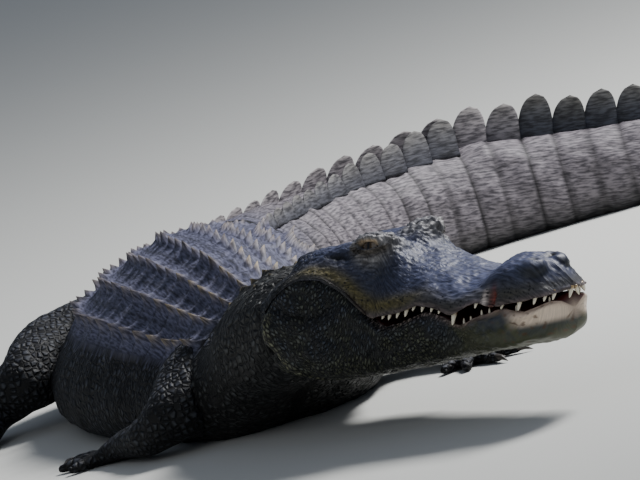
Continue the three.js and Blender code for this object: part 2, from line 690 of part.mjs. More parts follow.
function digits(kind, rows, side) {
  const { count, spread, length, thick, claws, claw } = DIGITS[kind];
  const palm = rows[rows.length - 1];
  const wrist = rows[rows.length - 2];
  const base = place(palm[0], side * palm[1], 0);
  const ahead = base.clone().sub(place(wrist[0], side * wrist[1], 0)).normalize();
  return Array.from({ length: count }, (_, i) => {
    const angle = (spread[0] + ((spread[1] - spread[0]) * i) / (count - 1)) * -side;
    const way = ahead.clone().applyAxisAngle(new THREE.Vector3(0, 0, 1), THREE.MathUtils.degToRad(angle));
    const reach = length[i];
    const stop = (share, height, wide) => ({
      at: base.clone().addScaledVector(way, 12 + reach * share).setZ(height),
      wide,
      high: wide * 0.9,
    });
    const toe = tube(
      [
        stop(-0.1, thick, thick * 1.1),
        stop(0.5, thick * 1.05, thick),
        stop(1.02, thick * 0.6, thick * 0.6),
      ],
      5,
    );
    if (i >= claws) return toe;
    const tip = (share, height, wide) => ({
      at: base.clone().addScaledVector(way, 12 + reach + claw * share).setZ(height),
      wide,
      high: wide,
    });
    const nail = tube(
      [
        tip(-0.4, thick * 0.8, thick * 0.5),
        tip(1, thick * 0.3, 0.5),
      ],
      4,
    );
    return toe.add(nail);
  });
}

function limb(kind, rows, side) {
  const steps = (rows.length - 1) * 3;
  const stops = limbStops(rows, side, steps);
  const rings = ringsAlong(stops, 10);
  const cut = LIMB_CUT * 3 - 1;
  const way = stops[cut + 1].at.clone().sub(stops[cut - 1].at).normalize();
  const foot = joined([loft(rings.slice(cut)), ...digits(kind, rows, side)]);
  const plane = way.dot(stops[cut].at) + GAP;
  const grown = stops
    .slice(0, cut + 1)
    .map(({ at, wide, high }) => ({ at, wide: wide + 2 * GAP, high: high + 2 * GAP }));
  const cutFoot = restsOnFloor(foot).trimByPlane([way.x, way.y, way.z], plane);
  return {
    leg: largest(restsOnFloor(loft(rings.slice(0, cut + 1)).subtract(bodyClearance))),
    foot: largest(cutFoot.subtract(tube(grown, 10))),
  };
}

// The whole animal
const hide = (color, roughness) => new THREE.MeshStandardMaterial({ color, roughness, metalness: 0 });
const FINISH = {
  head: hide(0x3a3d45, 0.55),
  jaw: hide(0x6b6048, 0.6),
  back: hide(0x5e5a5c, 0.8),
  tail: hide(0x6f6862, 0.8),
  leg: hide(0x33353a, 0.75),
  eye: hide(0x4a3d22, 0.1),
};

const animal = new THREE.Group();

function add(name, solid, material) {
  const { numProp, vertProperties, triVerts } = solid.getMesh();
  const geometry = new THREE.BufferGeometry();
  const points = new Float32Array((vertProperties.length / numProp) * 3);
  for (let i = 0; i < points.length / 3; i += 1) {
    points.set(vertProperties.subarray(i * numProp, i * numProp + 3), i * 3);
  }
  geometry.setAttribute("position", new THREE.BufferAttribute(points, 3));
  geometry.setIndex(new THREE.BufferAttribute(triVerts, 1));
  geometry.computeVertexNormals();
  const mesh = new THREE.Mesh(geometry, material);
  mesh.name = name;
  animal.add(mesh);
}

add("head", head(), FINISH.head);
add("lower_jaw", lowerJaw(), FINISH.jaw);
bothSides((side) => {
  const name = side > 0 ? "eye_left" : "eye_right";
  add(name, ball(eyeCentre(side), Array(3).fill(EYE.radius), 12, 8), FINISH.eye);
});
add("neck", trunkPiece(NECK_START, TORSO_START, NECK_SPACING, TORSO_AROUND, nuchalScutes()), FINISH.back);
[
  ["torso_front", TORSO_START, TORSO_MIDDLE],
  ["torso_rear", TORSO_MIDDLE, TAIL_START],
].forEach(([name, start, end]) =>
  add(name, trunkPiece(start, end, TORSO_SPACING, TORSO_AROUND, trunkScutes(start, end)), FINISH.back),
);
const [tailSecond, tailThird] = [TAIL_SECOND, TAIL_THIRD].map(whorlEdge);
add("tail_base", trunkPiece(TAIL_START, tailSecond, 60, 18, crest(TAIL_START, tailSecond)), FINISH.tail);
add("tail_middle", trunkPiece(tailSecond, tailThird, 60, 16, crest(tailSecond, tailThird)), FINISH.tail);
add("tail_end", trunkPiece(tailThird, TAIL_TIP, 60, 14, crest(tailThird, TAIL_TIP)), FINISH.tail);
bothSides((side) => {
  const name = side > 0 ? "left" : "right";
  const front = limb("front", side > 0 ? FRONT_LEFT : FRONT_RIGHT, side);
  const hind = limb("hind", side > 0 ? HIND_LEFT : HIND_RIGHT, side);
  add("front_leg_" + name, front.leg, FINISH.leg);
  add("front_foot_" + name, front.foot, FINISH.leg);
  add("hind_leg_" + name, hind.leg, FINISH.leg);
  add("hind_foot_" + name, hind.foot, FINISH.leg);
});

export default animal;
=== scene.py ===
"""American alligator at rest, life size, as a still display model.

Each hide is a surface of two parameters, station along the midline and turn round it. Lengths are
worked out in millimetres in body coordinates (station, left, height), then set in the part's frame.
"""
import bpy
import numpy as np
from mathutils import Matrix


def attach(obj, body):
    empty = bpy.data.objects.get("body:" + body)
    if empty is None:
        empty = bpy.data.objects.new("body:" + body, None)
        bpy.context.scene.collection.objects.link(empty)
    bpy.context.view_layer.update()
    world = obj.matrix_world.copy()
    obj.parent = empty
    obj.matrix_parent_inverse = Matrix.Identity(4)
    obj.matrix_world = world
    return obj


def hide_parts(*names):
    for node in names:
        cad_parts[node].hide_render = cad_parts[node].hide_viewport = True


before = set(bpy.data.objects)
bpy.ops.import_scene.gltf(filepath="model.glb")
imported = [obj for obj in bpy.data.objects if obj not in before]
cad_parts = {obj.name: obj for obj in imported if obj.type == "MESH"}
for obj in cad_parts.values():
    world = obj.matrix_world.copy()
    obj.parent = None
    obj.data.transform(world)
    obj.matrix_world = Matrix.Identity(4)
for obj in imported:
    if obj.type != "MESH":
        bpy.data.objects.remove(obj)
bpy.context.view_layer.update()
MM = 0.001

# Camera: a long lens from twelve metres, a little above the animal and turned about its own axis.
CAMERA_TILT = np.radians(8)
CAMERA_ROLL = np.radians(15.5)
PIXELS_PER_MM = 0.894
CAMERA_DISTANCE = 12000
IMAGE = (640, 480)
AIM_POINT = np.array([404, -593, 100])
AIM_PIXEL = (555, 291)

across = IMAGE[0] / 2 - AIM_PIXEL[0]
upward = AIM_PIXEL[1] - IMAGE[1] / 2
turned_across = across * np.cos(CAMERA_ROLL) + upward * np.sin(CAMERA_ROLL)
turned_upward = -across * np.sin(CAMERA_ROLL) + upward * np.cos(CAMERA_ROLL)
view_way = np.array([0, np.cos(CAMERA_TILT), -np.sin(CAMERA_TILT)])
level_right = np.array([1, 0, 0])
level_up = np.array([0, np.sin(CAMERA_TILT), np.cos(CAMERA_TILT)])
aim = AIM_POINT + (turned_across * level_right + turned_upward * level_up) / PIXELS_PER_MM
camera_spot = AIM_POINT - CAMERA_DISTANCE * view_way
view_way = (aim - camera_spot) / np.linalg.norm(aim - camera_spot)
camera_right = np.cross(view_way, level_right * np.sin(CAMERA_ROLL) + level_up * np.cos(CAMERA_ROLL))
camera_right /= np.linalg.norm(camera_right)
camera_up = np.cross(camera_right, view_way)
camera_pose = np.eye(4)
camera_pose[:3, :3] = np.stack([camera_right, camera_up, -view_way], 1)
camera_pose[:3, 3] = camera_spot * MM
camera = bpy.data.objects.new("camera", bpy.data.cameras.new("camera"))
camera.data.sensor_width = 36
camera.data.lens = PIXELS_PER_MM * CAMERA_DISTANCE / IMAGE[0] * 36
camera.data.clip_end = 100
camera.matrix_world = Matrix(camera_pose.tolist())
bpy.context.scene.collection.objects.link(camera)
bpy.context.scene.camera = camera

# Hide of the skull and upper jaw: thin skin grown tight to the bone, wrinkled lengthwise on the snout,
# pitted along the lip and knobby on the brows. The two lids stand on the brow as a split dome.
SKULL = 420
TAIL_TIP = 2570
ORIGIN_STATION = 950
SPINE_STEP = 5
HEADINGS = [
    (0, 49), (420, 49.5), (500, 68), (600, 77), (700, 77), (800, 74.5), (950, 79), (1100, 94), (1225, 108),
    (1320, 112), (1500, 121), (1650, 146), (1780, 171), (1900, 180), (2200, 184), (2570, 188),
]
LIFT = [(0, 92), (420, 79), (490, 61), (570, 23), (640, 0), (2570, 0)]
HEAD_ROLL = [(0, -4.5), (420, -4.5), (600, 0), (2570, 0)]
ROLL_HEIGHT = 60
HALF_WIDTH = [
    (400, 104), (470, 97), (560, 103), (640, 124), (720, 146), (800, 166), (900, 184), (1000, 190),
    (1100, 178), (1225, 142), (1320, 110), (1500, 82), (1700, 64), (1950, 45), (2200, 27), (2450, 12),
    (2570, 3.5),
]
BACK = [
    (400, 116), (470, 122), (560, 142), (640, 164), (720, 178), (800, 191), (900, 198), (1000, 192),
    (1100, 182), (1225, 166), (1320, 158), (1500, 144), (1700, 135), (1950, 106), (2200, 74), (2450, 36),
    (2570, 10),
]
WIDEST = [
    (400, 52), (560, 52), (800, 46), (1225, 50), (1500, 50), (1950, 42), (2200, 30), (2450, 15), (2570, 5),
]
BELLY = [(400, -16), (560, -8), (700, -10), (1950, -10), (2450, -3), (2570, -1)]
BACK_POWER = [
    (400, 0.8), (480, 0.95), (560, 1.25), (640, 1.55), (700, 1.5), (800, 1.4), (900, 1.32), (1000, 1.3),
    (1225, 1.12), (1400, 1), (1700, 0.95), (2570, 0.9),
]
BELLY_POWER = 0.62
HEAD_BLEND = (398, 470)
# The head's lines, in shares of the skull: their distance from the midline and their height.
TOP_HEIGHT = [
    (0, 0.11), (0.03, 0.142), (0.07, 0.172), (0.12, 0.196), (0.17, 0.207), (0.21, 0.2), (0.28, 0.17),
    (0.36, 0.182), (0.45, 0.212), (0.55, 0.25), (0.62, 0.282), (0.7, 0.29), (0.87, 0.298), (0.92, 0.28),
    (1, 0.262),
]
RIDGE_OUT = [
    (0, 0.01), (0.05, 0.048), (0.12, 0.07), (0.2, 0.076), (0.45, 0.088), (0.61, 0.085), (0.7, 0.1),
    (0.87, 0.136), (1, 0.12),
]
RIDGE_HEIGHT = [
    (0, 0.1), (0.05, 0.132), (0.1, 0.162), (0.16, 0.182), (0.2, 0.178), (0.28, 0.15), (0.4, 0.184),
    (0.5, 0.218), (0.56, 0.256), (0.61, 0.315), (0.66, 0.322), (0.72, 0.31), (0.87, 0.306), (0.91, 0.27),
    (1, 0.25),
]
CHEEK_OUT = [
    (0, 0.02), (0.05, 0.074), (0.12, 0.106), (0.2, 0.112), (0.311, 0.15), (0.45, 0.152), (0.58, 0.145),
    (0.64, 0.15), (0.7, 0.16), (0.8, 0.185), (0.87, 0.2), (0.93, 0.225), (1, 0.225),
]
CHEEK_HEIGHT = [
    (0, 0.095), (0.05, 0.108), (0.1, 0.124), (0.2, 0.136), (0.3, 0.128), (0.42, 0.15), (0.5, 0.168),
    (0.58, 0.2), (0.64, 0.232), (0.7, 0.255), (0.8, 0.272), (0.87, 0.262), (0.93, 0.235), (1, 0.2),
]
LIP_OUT = [
    (0, 0.01), (0.012, 0.044), (0.04, 0.08), (0.1, 0.12), (0.188, 0.134), (0.311, 0.172), (0.42, 0.172),
    (0.55, 0.2), (0.66, 0.21), (0.8, 0.228), (0.93, 0.25), (1, 0.25),
]
LIP_HEIGHT = [
    (0, 0.09), (0.1, 0.088), (0.187, 0.087), (0.234, 0.105), (0.306, 0.087), (0.38, 0.111), (0.436, 0.122),
    (0.51, 0.112), (0.58, 0.112), (0.61, 0.122), (0.651, 0.16), (0.679, 0.19), (0.71, 0.213), (0.759, 0.238),
    (0.812, 0.244), (0.86, 0.236), (0.93, 0.2), (1, 0.15),
]
MOUTH_OPEN = [
    (0, 0.03), (0.04, 0.019), (0.1, 0.03), (0.187, 0.012), (0.234, 0.034), (0.306, 0.032), (0.4, 0.024),
    (0.46, 0.024), (0.56, 0.03), (0.6, 0.016), (0.63, 0), (1, 0),
]
JAW_OUT = [
    (0, 0.005), (0.02, 0.042), (0.06, 0.078), (0.15, 0.102), (0.3, 0.13), (0.5, 0.168), (0.7, 0.205),
    (0.85, 0.24), (0.96, 0.262), (1, 0.26),
]
JAW_HEIGHT = [(0, 0.055), (0.1, 0.02), (0.5, 0.03), (0.7, 0.06), (0.85, 0.1), (1, 0.1)]
CHIN_OUT = [(0, 0.004), (0.03, 0.045), (0.1, 0.08), (0.3, 0.108), (0.6, 0.15), (0.88, 0.2), (1, 0.185)]
CHIN_HEIGHT = [
    (0, 0.04), (0.03, 0), (0.1, -0.022), (0.3, -0.026), (0.6, -0.032), (0.8, -0.028), (0.9, -0.01), (1, 0),
]
THROAT_HEIGHT = [
    (0, 0.04), (0.03, -0.02), (0.08, -0.038), (0.24, -0.042), (0.45, -0.046), (0.63, -0.058), (0.79, -0.062),
    (0.9, -0.05), (1, -0.038),
]
HEAD_END = 424
EYE_STATION = 270
EYE_LEFT = 36
EYE_HEIGHT = 119
EYE_RADIUS = 16.5
LID_DOME = 18.5
LID_LENGTH = 25
SLIT_HALF_LENGTH = 18
SLIT_HALF_OPENING = 6
HOOD_THICKNESS = 5.5
LID_FOLD_DEPTH = 1.3
SOCKET_RADIUS = 14.6
NOSTRIL = (40, 14, 80)
NOSTRIL_RADIUS = 6.5
NOSE_PAD = (48, 15.5, 64)
NOSE_PAD_SIZES = (24, 18, 17)
EAR_LINE = (292, 360, 63, 118)
FOLD_DEPTH = 2.6
GROOVE_DEPTH = 3.4
NECK_TUCK = 2.6
SCAR = ((79, -54, 47), (4, 9, 13))
SCAR_EDGE = ((88, -57, 45), (3.2, 9, 13))
SCAR_DEPTH = 5
SCAR_EDGE_HEIGHT = 1.5


def smooth(table, x):
    """Cubic through the table's points. Its tangent is the harmonic mean of the slopes on both sides,
    so it never overshoots."""
    places, values = np.array(table, float).T
    x = np.asarray(x, float)
    width = np.diff(places)
    slope = np.diff(values) / width
    before, after = slope[:-1], slope[1:]
    total = np.where(np.abs(before + after) < 1e-12, 1, before + after)
    inner = np.where(before * after <= 0, 0, 2 * before * after / total)
    tangent = np.concatenate([slope[:1], inner, slope[-1:]])
    i = np.clip(np.searchsorted(places, x, side="left") - 1, 0, len(places) - 2)
    u = np.clip((x - places[i]) / width[i], 0, 1)
    start = (1 + 2 * u) * (1 - u) ** 2 * values[i] + u * (1 - u) ** 2 * width[i] * tangent[i]
    return start + u * u * (3 - 2 * u) * values[i + 1] + u * u * (u - 1) * width[i] * tangent[i + 1]


def straight(table, x):
    """Straight lines between the table's points."""
    return np.interp(x, *np.array(table, float).T)


def ease(x, low, high):
    """0 below low and 1 above high, with 3u2 - 2u3 between them."""
    u = np.clip((x - low) / (high - low), 0, 1)
    return u * u * (3 - 2 * u)


spine_stations = np.arange(0, TAIL_TIP + 2 * SPINE_STEP, SPINE_STEP)
spine_heading = np.radians(straight(HEADINGS, spine_stations + SPINE_STEP / 2))
spine_x = np.concatenate([[0], np.cumsum(-np.cos(spine_heading) * SPINE_STEP)[:-1]])
spine_y = np.concatenate([[0], np.cumsum(np.sin(spine_heading) * SPINE_STEP)[:-1]])
spine_x -= spine_x[ORIGIN_STATION // SPINE_STEP]
spine_y -= spine_y[ORIGIN_STATION // SPINE_STEP]


def place(s, left, height):
    """Body coordinates to the part's frame: along the midline, then out along its normal, with the
    head's roll turning left and height about a line ROLL_HEIGHT up."""
    heading = np.radians(straight(HEADINGS, s))
    roll = np.radians(smooth(HEAD_ROLL, s))
    ahead = np.minimum(s, 0)
    x = np.interp(s, spine_stations, spine_x) - ahead * np.cos(heading)
    y = np.interp(s, spine_stations, spine_y) + ahead * np.sin(heading)
    up = height - ROLL_HEIGHT
    side = left * np.cos(roll) - up * np.sin(roll)
    z = smooth(LIFT, s) + ROLL_HEIGHT + left * np.sin(roll) + up * np.cos(roll)
    return np.stack([x + side * np.sin(heading), y + side * np.cos(heading), z], -1)


def body_section(s, turn):
    """Two half superellipses joined at the widest line, one for the back and one for the belly."""
    sine, cosine = np.sin(turn * 2 * np.pi), np.cos(turn * 2 * np.pi)
    power = np.where(cosine > 0, smooth(BACK_POWER, s), BELLY_POWER)
    middle = smooth(WIDEST, s)
    reach = np.where(cosine > 0, smooth(BACK, s) - middle, middle - smooth(BELLY, s))
    left = smooth(HALF_WIDTH, s) * np.sign(sine) * np.abs(sine) ** power
    return left, middle + reach * np.sign(cosine) * np.abs(cosine) ** power


def through_points(points, share):
    """Cubic through a few (out, height) points, the tangent at each half the step between its neighbours."""
    stack = np.stack([np.stack(np.broadcast_arrays(*point), -1) for point in points])
    spans = len(points) - 1
    i = np.clip((share * spans).astype(int), 0, spans - 1)
    u = (share * spans - i)[..., None]

    def pick(k):
        """The k-th point of each curve, or its first or last."""
        index = np.broadcast_to(np.clip(k, 0, spans)[None, ..., None], (1, *stack.shape[1:]))
        return np.take_along_axis(stack, index, 0)[0]

    here, after = pick(i), pick(i + 1)
    leave, arrive = (after - pick(i - 1)) / 2, (pick(i + 2) - here) / 2
    curve = (1 + 2 * u) * (1 - u) ** 2 * here + u * u * (3 - 2 * u) * after
    curve = curve + u * (1 - u) ** 2 * leave + u * u * (u - 1) * arrive
    return curve[..., 0], curve[..., 1]


def head_section(s, turn, below):
    """The curve over the skull from lip to lip, or below the jaw from lip to lip."""
    x = s / SKULL
    half = np.where(turn <= 0.5, turn, 1 - turn)
    zero = np.zeros_like(x)
    lip_out, lip_height = smooth(LIP_OUT, x), smooth(LIP_HEIGHT, x)
    if below:
        lines = [
            (lip_out, lip_height - smooth(MOUTH_OPEN, x)),
            (smooth(JAW_OUT, x), smooth(JAW_HEIGHT, x)),
            (smooth(CHIN_OUT, x), smooth(CHIN_HEIGHT, x)),
            (zero, smooth(THROAT_HEIGHT, x)),
        ]
        out, height = through_points(lines, np.clip(half * 4 - 1, 0, 1))
    else:
        lines = [
            (zero, smooth(TOP_HEIGHT, x)),
            (smooth(RIDGE_OUT, x), smooth(RIDGE_HEIGHT, x)),
            (smooth(CHEEK_OUT, x), smooth(CHEEK_HEIGHT, x)),
            (lip_out, lip_height),
        ]
        out, height = through_points(lines, np.clip(half * 4, 0, 1))
    return np.where(turn <= 0.5, 1, -1) * out * SKULL, height * SKULL


def skin_section(s, turn, below=None):
    """The head's section, running into the neck's behind the jaw joint."""
    s, turn = np.broadcast_arrays(np.asarray(s, float), np.asarray(turn, float))
    body = body_section(s, turn)
    under = np.cos(turn * 2 * np.pi) < 0
    over_head = head_section(np.minimum(s, SKULL), turn, False)
    under_head = head_section(np.minimum(s, SKULL), turn, True)
    choose = under if below is None else np.full(under.shape, below)
    head = [np.where(choose, low, high) for low, high in zip(under_head, over_head)]
    share = ease(s, *HEAD_BLEND)
    return [a + share * (b - a) for a, b in zip(head, body)]


def grid_normals(points):
    """Unit normals of a grid closed in its second direction, turned away from each ring's middle."""
    along = np.gradient(points, axis=0)
    round_ = np.roll(points, -1, 1) - np.roll(points, 1, 1)
    normal = np.cross(along, round_)
    normal /= np.maximum(np.linalg.norm(normal, axis=-1, keepdims=True), 1e-9)
    away = points - points.mean(1, keepdims=True)
    return normal * np.sign((normal * away).sum())


def lumps(points, size, seed):
    """Smooth noise near -1 to 1: twenty-four sine waves about size apart, in seeded directions, added up."""
    draw = np.random.default_rng(seed)
    way = draw.normal(size=(24, 3))
    way /= np.linalg.norm(way, axis=1, keepdims=True)
    waves = way * (2 * np.pi / (size * draw.uniform(0.7, 1.5, (24, 1))))
    return np.sin(points @ waves.T + draw.uniform(0, 2 * np.pi, 24)).sum(-1) / 5


def loft(rings):
    """Points and faces of a closed skin: quads between the rings and a fan over each end."""
    count, around = rings.shape[:2]
    points = np.concatenate([rings.reshape(-1, 3), rings[[0, -1]].mean(1)])
    i = np.arange(around)
    j = (i + 1) % around
    start = (np.arange(count - 1) * around)[:, None]
    quads = np.stack([start + i, start + j, start + around + j, start + around + i], -1).reshape(-1, 4)
    last = (count - 1) * around
    front = np.stack([np.full(around, count * around), j, i], 1)
    rear = np.stack([np.full(around, count * around + 1), last + i, last + j], 1)
    return points, quads, np.concatenate([front, rear])


def finish_piece(name, mesh, masks, material, replaced=()):
    """The mesh as an object of the frame, its masks kept as attributes of its points."""
    for key, values in masks.items():
        kind, field = ("FLOAT_VECTOR", "vector") if values.ndim == 2 else ("FLOAT", "value")
        mesh.attributes.new(key, kind, "POINT").data.foreach_set(field, values.astype(np.float32).ravel())
    mesh.materials.clear()
    mesh.materials.append(material)
    mesh.shade_smooth()
    made = bpy.data.objects.new(name, mesh)
    bpy.context.scene.collection.objects.link(made)
    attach(made, "root")
    if replaced:
        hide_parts(*replaced)


def piece(name, shells, material, replaced=()):
    """One mesh of closed shells, each a loft with its masks. A shell that is inside out is turned."""
    points, quads, triangles, masks = [], [], [], {}
    total = 0
    for (shell_points, shell_quads, shell_triangles), shell_masks in shells:
        halves = [shell_quads[:, [0, 1, 2]], shell_quads[:, [0, 2, 3]], shell_triangles]
        a, b, c = (shell_points[np.concatenate(halves)[:, k]] for k in range(3))
        if (a * np.cross(b, c)).sum() < 0:
            shell_quads, shell_triangles = shell_quads[:, ::-1], shell_triangles[:, ::-1]
        points.append(shell_points)
        quads.append(shell_quads + total)
        triangles.append(shell_triangles + total)
        for key, values in shell_masks.items():
            padded = np.concatenate([values.reshape(-1, *values.shape[2:]), values[[0, -1], 0]])
            masks.setdefault(key, []).append(padded)
        total += len(shell_points)
    points = np.concatenate(points)
    mesh = bpy.data.meshes.new(name)
    faces = np.concatenate(quads).tolist() + np.concatenate(triangles).tolist()
    mesh.from_pydata((points * MM).tolist(), [], faces)
    masks = {key: np.concatenate(values) for key, values in masks.items()}
    finish_piece(name, mesh, masks, material, replaced)


def colour(code):
    """An sRGB hex value as linear red, green, blue and alpha."""
    shares = np.array([int(code[k:k + 2], 16) for k in (1, 3, 5)]) / 255
    linear = np.where(shares <= 0.04045, shares / 12.92, ((shares + 0.055) / 1.055) ** 2.4)
    return (*linear.tolist(), 1)


def add_node(tree, kind, settings=None, inputs=None):
    """A shader node with its settings and, by name or number, its numbers and links."""
    made = tree.nodes.new(kind)
    for key, value in (settings or {}).items():
        setattr(made, key, value)
    for key, value in (inputs or {}).items():
        if isinstance(value, bpy.types.NodeSocket):
            tree.links.new(value, made.inputs[key])
        else:
            made.inputs[key].default_value = value
    return made


def new_material(name):
    """A named material with an empty node tree."""
    material = bpy.data.materials.new(name)
    material.use_nodes = True
    material.node_tree.nodes.clear()
    return material, material.node_tree


def close_material(tree, sockets):
    """The surface shader with these sockets, joined to the output."""
    surface = add_node(tree, "ShaderNodeBsdfPrincipled", None, sockets)
    add_node(tree, "ShaderNodeOutputMaterial", None, {"Surface": surface.outputs[0]})


PORE_SPACING = 4.5
# Real striations are under a millimetre apart. These are nearly 3 mm apart, as coarse as they need to show.
STRIATIONS_PER_METRE = 360
STRIATION_STRETCH = 0.22
CLOUDS_PER_METRE = 28
CELL_RANDOMNESS = 0.7


def hide_material(name, deep, base, pale, layers, cell, cell_depth, roughness, streak_depth,
                  narrowing=1.0):
    """Horny crocodilian hide: cobbled scales of cell mm with dark gaps and middles lightened by a painted
    highlight, striations along the body, pores, and one layer of colour over another, each as strong as its
    mask."""
    material, tree = new_material(name)
    grain = add_node(tree, "ShaderNodeAttribute", {"attribute_name": "grain"}).outputs["Vector"]
    masks = {
        key: add_node(tree, "ShaderNodeAttribute", {"attribute_name": key}).outputs["Fac"]
        for key in ("cells", "pores", "joint_and_crease_shade", *(layer[0] for layer in layers))
    }
    set_close, stretched = (
        add_node(
            tree, "ShaderNodeMapping", {"vector_type": "POINT"}, {"Vector": grain, "Scale": (along, 1, 1)},
        ).outputs[0]
        for along in (narrowing, STRIATION_STRETCH)
    )
    cobbles = {"Vector": set_close, "Scale": 1000 / cell, "Randomness": CELL_RANDOMNESS}
    edges = add_node(
        tree, "ShaderNodeTexVoronoi", {"feature": "DISTANCE_TO_EDGE"}, cobbles,
    ).outputs["Distance"]
    cells = add_node(tree, "ShaderNodeTexVoronoi", {"feature": "F1"}, cobbles).outputs["Color"]
    each = add_node(tree, "ShaderNodeSeparateColor", None, {0: cells}).outputs[0]
    holes = add_node(
        tree, "ShaderNodeTexVoronoi", {"feature": "F1"}, {"Vector": grain, "Scale": 1000 / PORE_SPACING},
    ).outputs["Distance"]
    cloud = add_node(
        tree, "ShaderNodeTexNoise", None,
        {"Vector": grain, "Scale": CLOUDS_PER_METRE, "Detail": 6, "Roughness": 0.6},
    ).outputs["Fac"]
    striation = add_node(
        tree, "ShaderNodeTexNoise", None,
        {"Vector": stretched, "Scale": STRIATIONS_PER_METRE, "Detail": 4},
    ).outputs["Fac"]

    # While its source goes from the first number to the second, a level goes from the third to the fourth.
    # Those with a mask count only where it is.
    spans = {
        "slope": (edges, 0.0, 0.34, 1.0, 0.0, "cells"),
        "gap": (edges, 0.05, 0.24, 1.0, 0.0, "cells"),
        # middle: a painted highlight on the dome of each scale.
        "middle": (edges, 0.16, 0.42, 0.0, 1.0, "cells"),
        "tone": (each, 0.0, 1.0, 0.0, 0.45, "cells"),
        "hole": (holes, 0.16, 0.34, 1.0, 0.0, "pores"),
        "bloom": (cloud, 0.36, 0.66, 0.0, 1.0, None),
        "dryness": (cloud, 0.0, 1.0, roughness - 0.1, roughness + 0.12, None),
        "streak": (striation, 0.38, 0.62, 0.0, streak_depth, None),
    }
    level = {}
    for key, (source, low, high, first, last, mask) in spans.items():
        level[key] = add_node(
            tree, "ShaderNodeMapRange", {"interpolation_type": "SMOOTHSTEP" if key == "slope" else "LINEAR"},
            {"Value": source, "From Min": low, "From Max": high, "To Min": first, "To Max": last},
        ).outputs[0]
        if mask:
            level[key] = add_node(
                tree, "ShaderNodeMath", {"operation": "MULTIPLY"}, {0: level[key], 1: masks[mask]},
            ).outputs[0]

    coats = [("MIX", level["tone"], deep)]
    for key, code, strength in layers:
        amount = add_node(
            tree, "ShaderNodeMath", {"operation": "MULTIPLY", "use_clamp": True},
            {0: masks[key], 1: strength},
        ).outputs[0]
        coats.append(("MIX", amount, code))
    coats += [
        # The ADD at each scale's middle is a painted highlight on its dome.
        ("MULTIPLY", level["streak"], "#76767c"), ("ADD", level["middle"], "#33363a"),
        # Gaps and pores are the hide's own dark; the last mask is dark joints on the body and painted shade
        # in the grooves and folds of head and jaw.
        ("MIX", level["gap"], deep), ("MIX", level["hole"], deep), ("MIX", masks["joint_and_crease_shade"], deep),
    ]
    paint = add_node(
        tree, "ShaderNodeMix", {"data_type": "RGBA"}, {0: level["bloom"], 6: colour(base), 7: colour(pale)},
    ).outputs[2]
    for blend, amount, code in coats:
        paint = add_node(
            tree, "ShaderNodeMix", {"data_type": "RGBA", "blend_type": blend},
            {0: amount, 6: paint, 7: colour(code)},
        ).outputs[2]

    raised = add_node(
        tree, "ShaderNodeMath", {"operation": "SUBTRACT"}, {0: 1.0, 1: level["slope"]},
    ).outputs[0]
    bump = add_node(
        tree, "ShaderNodeBump", None, {"Strength": 1.0, "Distance": cell_depth * MM, "Height": raised},
    ).outputs[0]
    bump = add_node(
        tree, "ShaderNodeBump", None,
        {"Strength": 0.9, "Distance": streak_depth * MM, "Height": striation, "Normal": bump},
    ).outputs[0]
    close_material(tree, {
        "Base Color": paint, "Roughness": level["dryness"], "IOR": 1.5, "Specular IOR Level": 0.28,
        "Normal": bump,
    })
    return material


def dome(points, centre, sizes, reach):
    """Points inside an ellipsoid move out to it, with a polynomial smooth maximum as wide as reach."""
    way = (points - centre) / sizes
    size = np.linalg.norm(way, axis=-1, keepdims=True)
    width = reach / min(sizes)
    share = np.clip(0.5 + 0.5 * (1 - size) / width, 0, 1)
    moved = size + share * (1 - size) + width * share * (1 - share)
    return centre + way / np.maximum(size, 1e-6) * moved * sizes


def eye_frame(side):
    """The eye's centre, the way it looks and the way up its lids, all in body coordinates."""
    centre = np.array([EYE_STATION, side * EYE_LEFT, EYE_HEIGHT])
    out_way = np.array([-2, side * 10, 4]) / np.sqrt(120)
    up_way = np.array([0, -side * 4, 10]) / np.sqrt(116)
    return centre, out_way, up_way


def lip_distance(rings, stations, left, height):
    """How far each point is from the lip of its own ring and side."""
    side = np.sign(rings[..., 1])
    lip = np.broadcast_arrays(stations[:, None], side * np.abs(left)[:, None], height[:, None])
    return np.linalg.norm(rings - np.stack(lip, -1), axis=-1)


def mouth_fold(stations, lip_gap):
    """The crease behind the mouth's corner: a bell across the lip line that fades out along the cheek."""
    along = ease(stations, 245, 285) * (1 - 0.9 * ease(stations, 325, 375))
    return FOLD_DEPTH * bell(lip_gap, 6) * along


def bell(distance, width):
    """A bell curve: 1 at no distance, falling as e to the minus square of distance over width."""
    return np.exp(-(distance / width) ** 2)


# Rings of the skull's outside, closer together at the brows, where the lids are.
HEAD_RINGS = 262
fine_stations = np.linspace(0, HEAD_END, 850)
head_steps = np.cumsum(np.where(np.abs(fine_stations - EYE_STATION) < 30, 1.0, 0.36))
head_stations = np.interp(np.linspace(0, head_steps[-1], HEAD_RINGS), head_steps, fine_stations)
half_turns = np.concatenate([
    np.linspace(0, 1 / 12, 26)[:-1], np.linspace(1 / 12, 1 / 6, 50)[:-1], np.linspace(1 / 6, 0.25, 40),
])
over_turns = np.concatenate([1 - half_turns[::-1], half_turns[1:]])
s_grid, turn_grid = np.meshgrid(head_stations, over_turns, indexing="ij")
left_grid, height_grid = skin_section(s_grid, turn_grid, False)
